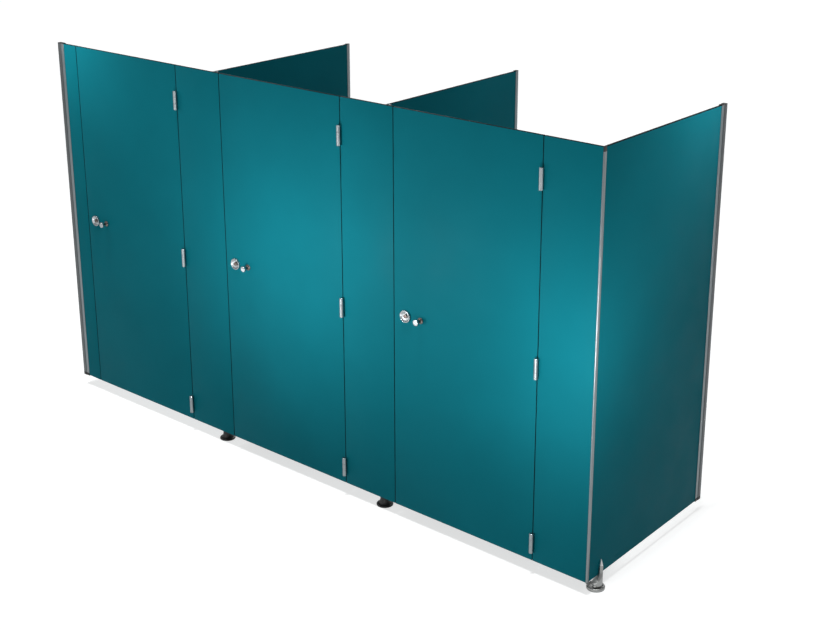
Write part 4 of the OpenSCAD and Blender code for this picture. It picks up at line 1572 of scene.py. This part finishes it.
@dataclass
class Screws:
    """Pan-head and countersunk screws, each with a hexagon socket, in place of the plain CAD ones."""

    palette: Palette
    shank: float = 2.0  # radius, as are the heads' and the socket's
    pan_head: float = 4.0
    pan_height: float = 2.6
    sunk_head: float = 4.3
    sunk_height: float = 2.2
    widest_pan: float = 4.15  # a wider CAD screw is a countersunk one
    socket: float = 1.45
    socket_depth: float = 1.5
    models: dict[tuple[bool, int], Piece] = field(default_factory=dict)

    def screw(self, sunk: bool, length: int) -> Piece:
        """Screw with its top at the origin and its shank along -Z.

        Args:
            sunk: Whether its head is countersunk.
            length: Whole length.

        Returns:
            The model, which is copied to each place.
        """
        if (sunk, length) in self.models:
            return self.models[sunk, length]
        if sunk:
            head = [(self.sunk_head - 0.3, 0.0), (self.sunk_head, -0.25), (self.shank, -self.sunk_height)]
        else:
            head = [(2.2, 0.0), (3.1, -0.35), (3.75, -1.1), (self.pan_head, -2.0),
                    (self.pan_head, -self.pan_height), (self.shank, -self.pan_height)]
        model = turned("screw_model", head + [(self.shank, -length + 2.0), (0.4, -length)], sides=20)
        select_only()
        bpy.ops.mesh.primitive_cylinder_add(vertices=6, radius=self.socket * MM,
                                            depth=2 * self.socket_depth * MM)
        combine(model, added("socket"), "DIFFERENCE")
        self.models[sunk, length] = dress(model, self.palette.zinc)
        return model

    def copies(self, node: str) -> list[Piece]:
        """One screw for each solid of a CAD node, on the solid's own axis.

        Args:
            node: Name of the node.

        Returns:
            The screws.
        """
        made = []
        for low, high, points in solids_of(node):
            size, middle = high - low, (low + high) / 2
            axis = max(range(3), key=lambda i: size[i])
            across = [i for i in range(3) if i != axis]
            radii = [math.hypot(*(p[i] - middle[i] for i in across)) for p in points]
            rim = [p[axis] for p, radius in zip(points, radii) if radius > 0.95 * max(radii)]
            side = 1 if sum(rim) / len(rim) > middle[axis] else -1
            top = middle.copy()
            top[axis] = high[axis] if side > 0 else low[axis]
            model = self.screw(max(radii) > self.widest_pan * MM, round(size[axis] / MM))
            out = Vector([float(side) if i == axis else 0.0 for i in range(3)])
            made.append(placed(copy_of(model, "screw"), top, out))
        return made

    def build(self) -> None:
        """Builds the screws of every node that holds them."""
        for node in ("profile_screws", "hardware_screws", *(f"door_screws_{k}" for k in DOORS)):
            hand_over(gather(f"{node}_set", self.copies(node)), node)
        discard(*self.models.values())


# ---------- studio ----------


@dataclass(frozen=True)
class SoftBox:
    """Rectangular soft box that looks at a point of the row, with its places and its size in metres."""

    name: str
    place: tuple[float, float, float]
    target: tuple[float, float, float]  # what it looks at
    width: float
    height: float
    watts: float
    spread: float = 180.0  # angle of its beam in degrees

    def build(self) -> None:
        """Adds the lamp, out of the camera's own sight."""
        select_only()
        bpy.ops.object.light_add(type="AREA", location=self.place)
        lamp = bpy.context.object
        lamp.name = self.name
        lamp.data.shape = "RECTANGLE"
        lamp.data.size = self.width
        lamp.data.size_y = self.height
        lamp.data.energy = self.watts
        lamp.data.spread = math.radians(self.spread)
        lamp.rotation_euler = (Vector(self.target) - Vector(self.place)).to_track_quat("-Z", "Y").to_euler()
        lamp.visible_camera = False
        LOG.info("soft box %s, %.1f W", self.name, self.watts)


@dataclass
class Studio:
    """Pale floor, even fill light, soft boxes and the camera at the photograph's place."""

    focal_px: float = 1399.0  # focal length in pixels of a picture 840 wide
    picture_width: int = 840
    sensor: float = 36.0
    eye: tuple[float, float, float] = (6.295, -5.47, 3.365)  # metres
    yaw: float = 39.9  # turn of the camera to the left of +Y, in degrees
    pitch: float = 18.0  # tilt below the horizon, in degrees
    shift: float = -0.10  # vertical lens shift
    floor_size: float = 60.0  # metres
    floor_colour: str = "#BCBEBE"
    floor_glow: float = 0.65  # light that the floor shows to the camera besides its own shade
    floor_sheen: float = 0.38  # the same for what reflects in metal
    fill: float = 0.15  # strength of the even light from all round
    horizon: float = 0.5  # brightness that metal reflects from the side
    ceiling: float = 0.3  # and from straight above
    overhead: float = 1.9  # strength of the light from above, which gives the floor its soft shadow
    overhead_lean: float = 8.0  # its lean towards the front of the row, in degrees
    overhead_softness: float = 8.0  # width of its source, in degrees
    boxes: tuple[SoftBox, ...] = (
        SoftBox("broad_front", (0.6, -3.1, 1.3), (1.9, -0.98, 0.9), 2.0, 0.6, 4.5),
        SoftBox("low_strip", (0.95, -2.23, 0.37), (1.1, -0.98, 1.1), 2.5, 0.14, 3.6),
        SoftBox("left_top", (0.05, -1.45, 2.3), (0.05, -0.98, 1.9), 0.3, 0.3, 4.2),
        SoftBox("middle", (1.85, -2.25, 0.95), (1.85, -0.98, 1.35), 0.5, 0.3, 6.0, 105.0),
        SoftBox("right", (3.5, -2.05, 0.9), (3.38, -0.98, 1.25), 0.2, 0.4, 4.2, 100.0),
        SoftBox("low_right", (3.0, -2.3, 0.3), (3.2, -0.98, 0.35), 0.5, 0.3, 1.8, 120.0),
        SoftBox("end_corner", (4.1, -1.0, 1.2), (3.475, -0.95, 1.2), 0.3, 0.6, 2.5),
        SoftBox("end_top", (3.9, -0.1, 2.3), (3.475, -0.1, 1.85), 0.3, 0.3, 3.2),
        SoftBox("back_fill", (-1.6, 3.2, 2.4), (1.7, -0.6, 1.0), 2.4, 1.6, 60.0),
    )

    def build(self) -> None:
        """Builds the studio."""
        bpy.context.scene.view_settings.view_transform = "Standard"
        self.camera()
        self.floor()
        self.world()
        self.overhead_light()
        for box in self.boxes:
            box.build()

    def camera(self) -> None:
        """Places the camera."""
        select_only()
        turn = (math.radians(90 - self.pitch), 0.0, math.radians(self.yaw))
        bpy.ops.object.camera_add(location=self.eye, rotation=turn)
        camera = bpy.context.object
        camera.data.sensor_width = self.sensor
        camera.data.lens = self.focal_px / self.picture_width * self.sensor
        camera.data.shift_y = self.shift
        camera.data.clip_end = 2 * self.floor_size
        bpy.context.scene.camera = camera

    def seen(self, material: Shaded) -> Socket:
        """1 for rays from the camera, straight or through something clear, and 0 for the others.

        Args:
            material: What the nodes go into.

        Returns:
            The socket with that value.
        """
        rays = add_node(material, "LightPath").outputs
        either = {0: rays["Is Camera Ray"], 1: rays["Is Transmission Ray"]}
        return add_node(material, "Math", either, operation="MAXIMUM").outputs[0]

    def floor(self) -> None:
        """Plain pale floor that shows white to the camera and keeps the row's shadow."""
        select_only()
        bpy.ops.mesh.primitive_plane_add(size=self.floor_size, location=(1.7, -0.5, 0.0))
        floor = bpy.context.object
        floor.name = "studio_floor"
        material = emptied(bpy.data.materials.new("pale studio floor"))
        mirrored = add_node(material, "LightPath").outputs["Is Glossy Ray"]
        shown = add_node(material, "Math", {0: self.seen(material), 1: self.floor_glow}, operation="MULTIPLY")
        glow = add_node(material, "Math", {0: mirrored, 1: self.floor_sheen, 2: shown.outputs[0]},
                        operation="MULTIPLY_ADD")
        paint = add_node(material, "BsdfDiffuse", {"Color": to_linear(self.floor_colour)})
        light = add_node(material, "Emission", {"Strength": glow.outputs[0]})
        both = add_node(material, "AddShader", {0: paint.outputs[0], 1: light.outputs[0]})
        add_node(material, "OutputMaterial", {"Surface": both.outputs[0]})
        floor.data.materials.append(material)

    def world(self) -> None:
        """White behind the row, an even fill light, and for metal a pale horizon under a grey ceiling."""
        world = emptied(bpy.data.worlds.new("studio"))
        bpy.context.scene.world = world
        direction = add_node(world, "TexCoord")
        height = add_node(world, "SeparateXYZ", {"Vector": direction.outputs["Object"]})
        grey = add_node(world, "MapRange", {"Value": height.outputs["Z"], "From Min": 0.0, "From Max": 0.8,
                                            "To Min": self.horizon, "To Max": self.ceiling})
        white, fill, ceiling = (
            add_node(world, "Background", {"Color": WHITE, "Strength": strength}).outputs[0]
            for strength in (1.0, self.fill, grey.outputs["Result"]))
        glossy = add_node(world, "LightPath").outputs["Is Glossy Ray"]
        first = add_node(world, "MixShader", {0: glossy, 1: fill, 2: ceiling})
        mixed = add_node(world, "MixShader", {0: self.seen(world), 1: first.outputs[0], 2: white})
        add_node(world, "OutputWorld", {"Surface": mixed.outputs[0]})

    def overhead_light(self) -> None:
        """Light from nearly straight above: its soft shadow shows in the gap below the boards."""
        select_only()
        bpy.ops.object.light_add(type="SUN", location=(0.0, 0.0, 4.0),
                                 rotation=(math.radians(self.overhead_lean), 0.0, 0.0))
        lamp = bpy.context.object
        lamp.name = "overhead"
        lamp.data.energy = self.overhead
        lamp.data.angle = math.radians(self.overhead_softness)


def main() -> None:
    """Builds the studio and then every sub-assembly."""
    logging.basicConfig(level=logging.INFO, format="%(name)s: %(message)s")
    palette = Palette()
    Studio().build()
    for assembly in (Boards(palette), Profiles(palette), BarrelHinge(palette), PullKnobs(palette),
                     RotaryLock(palette), KeepersAndStops(palette), Feet(palette), Screws(palette)):
        LOG.info("building %s", type(assembly).__name__)
        assembly.build()


if __name__ == "__main__":
    main()
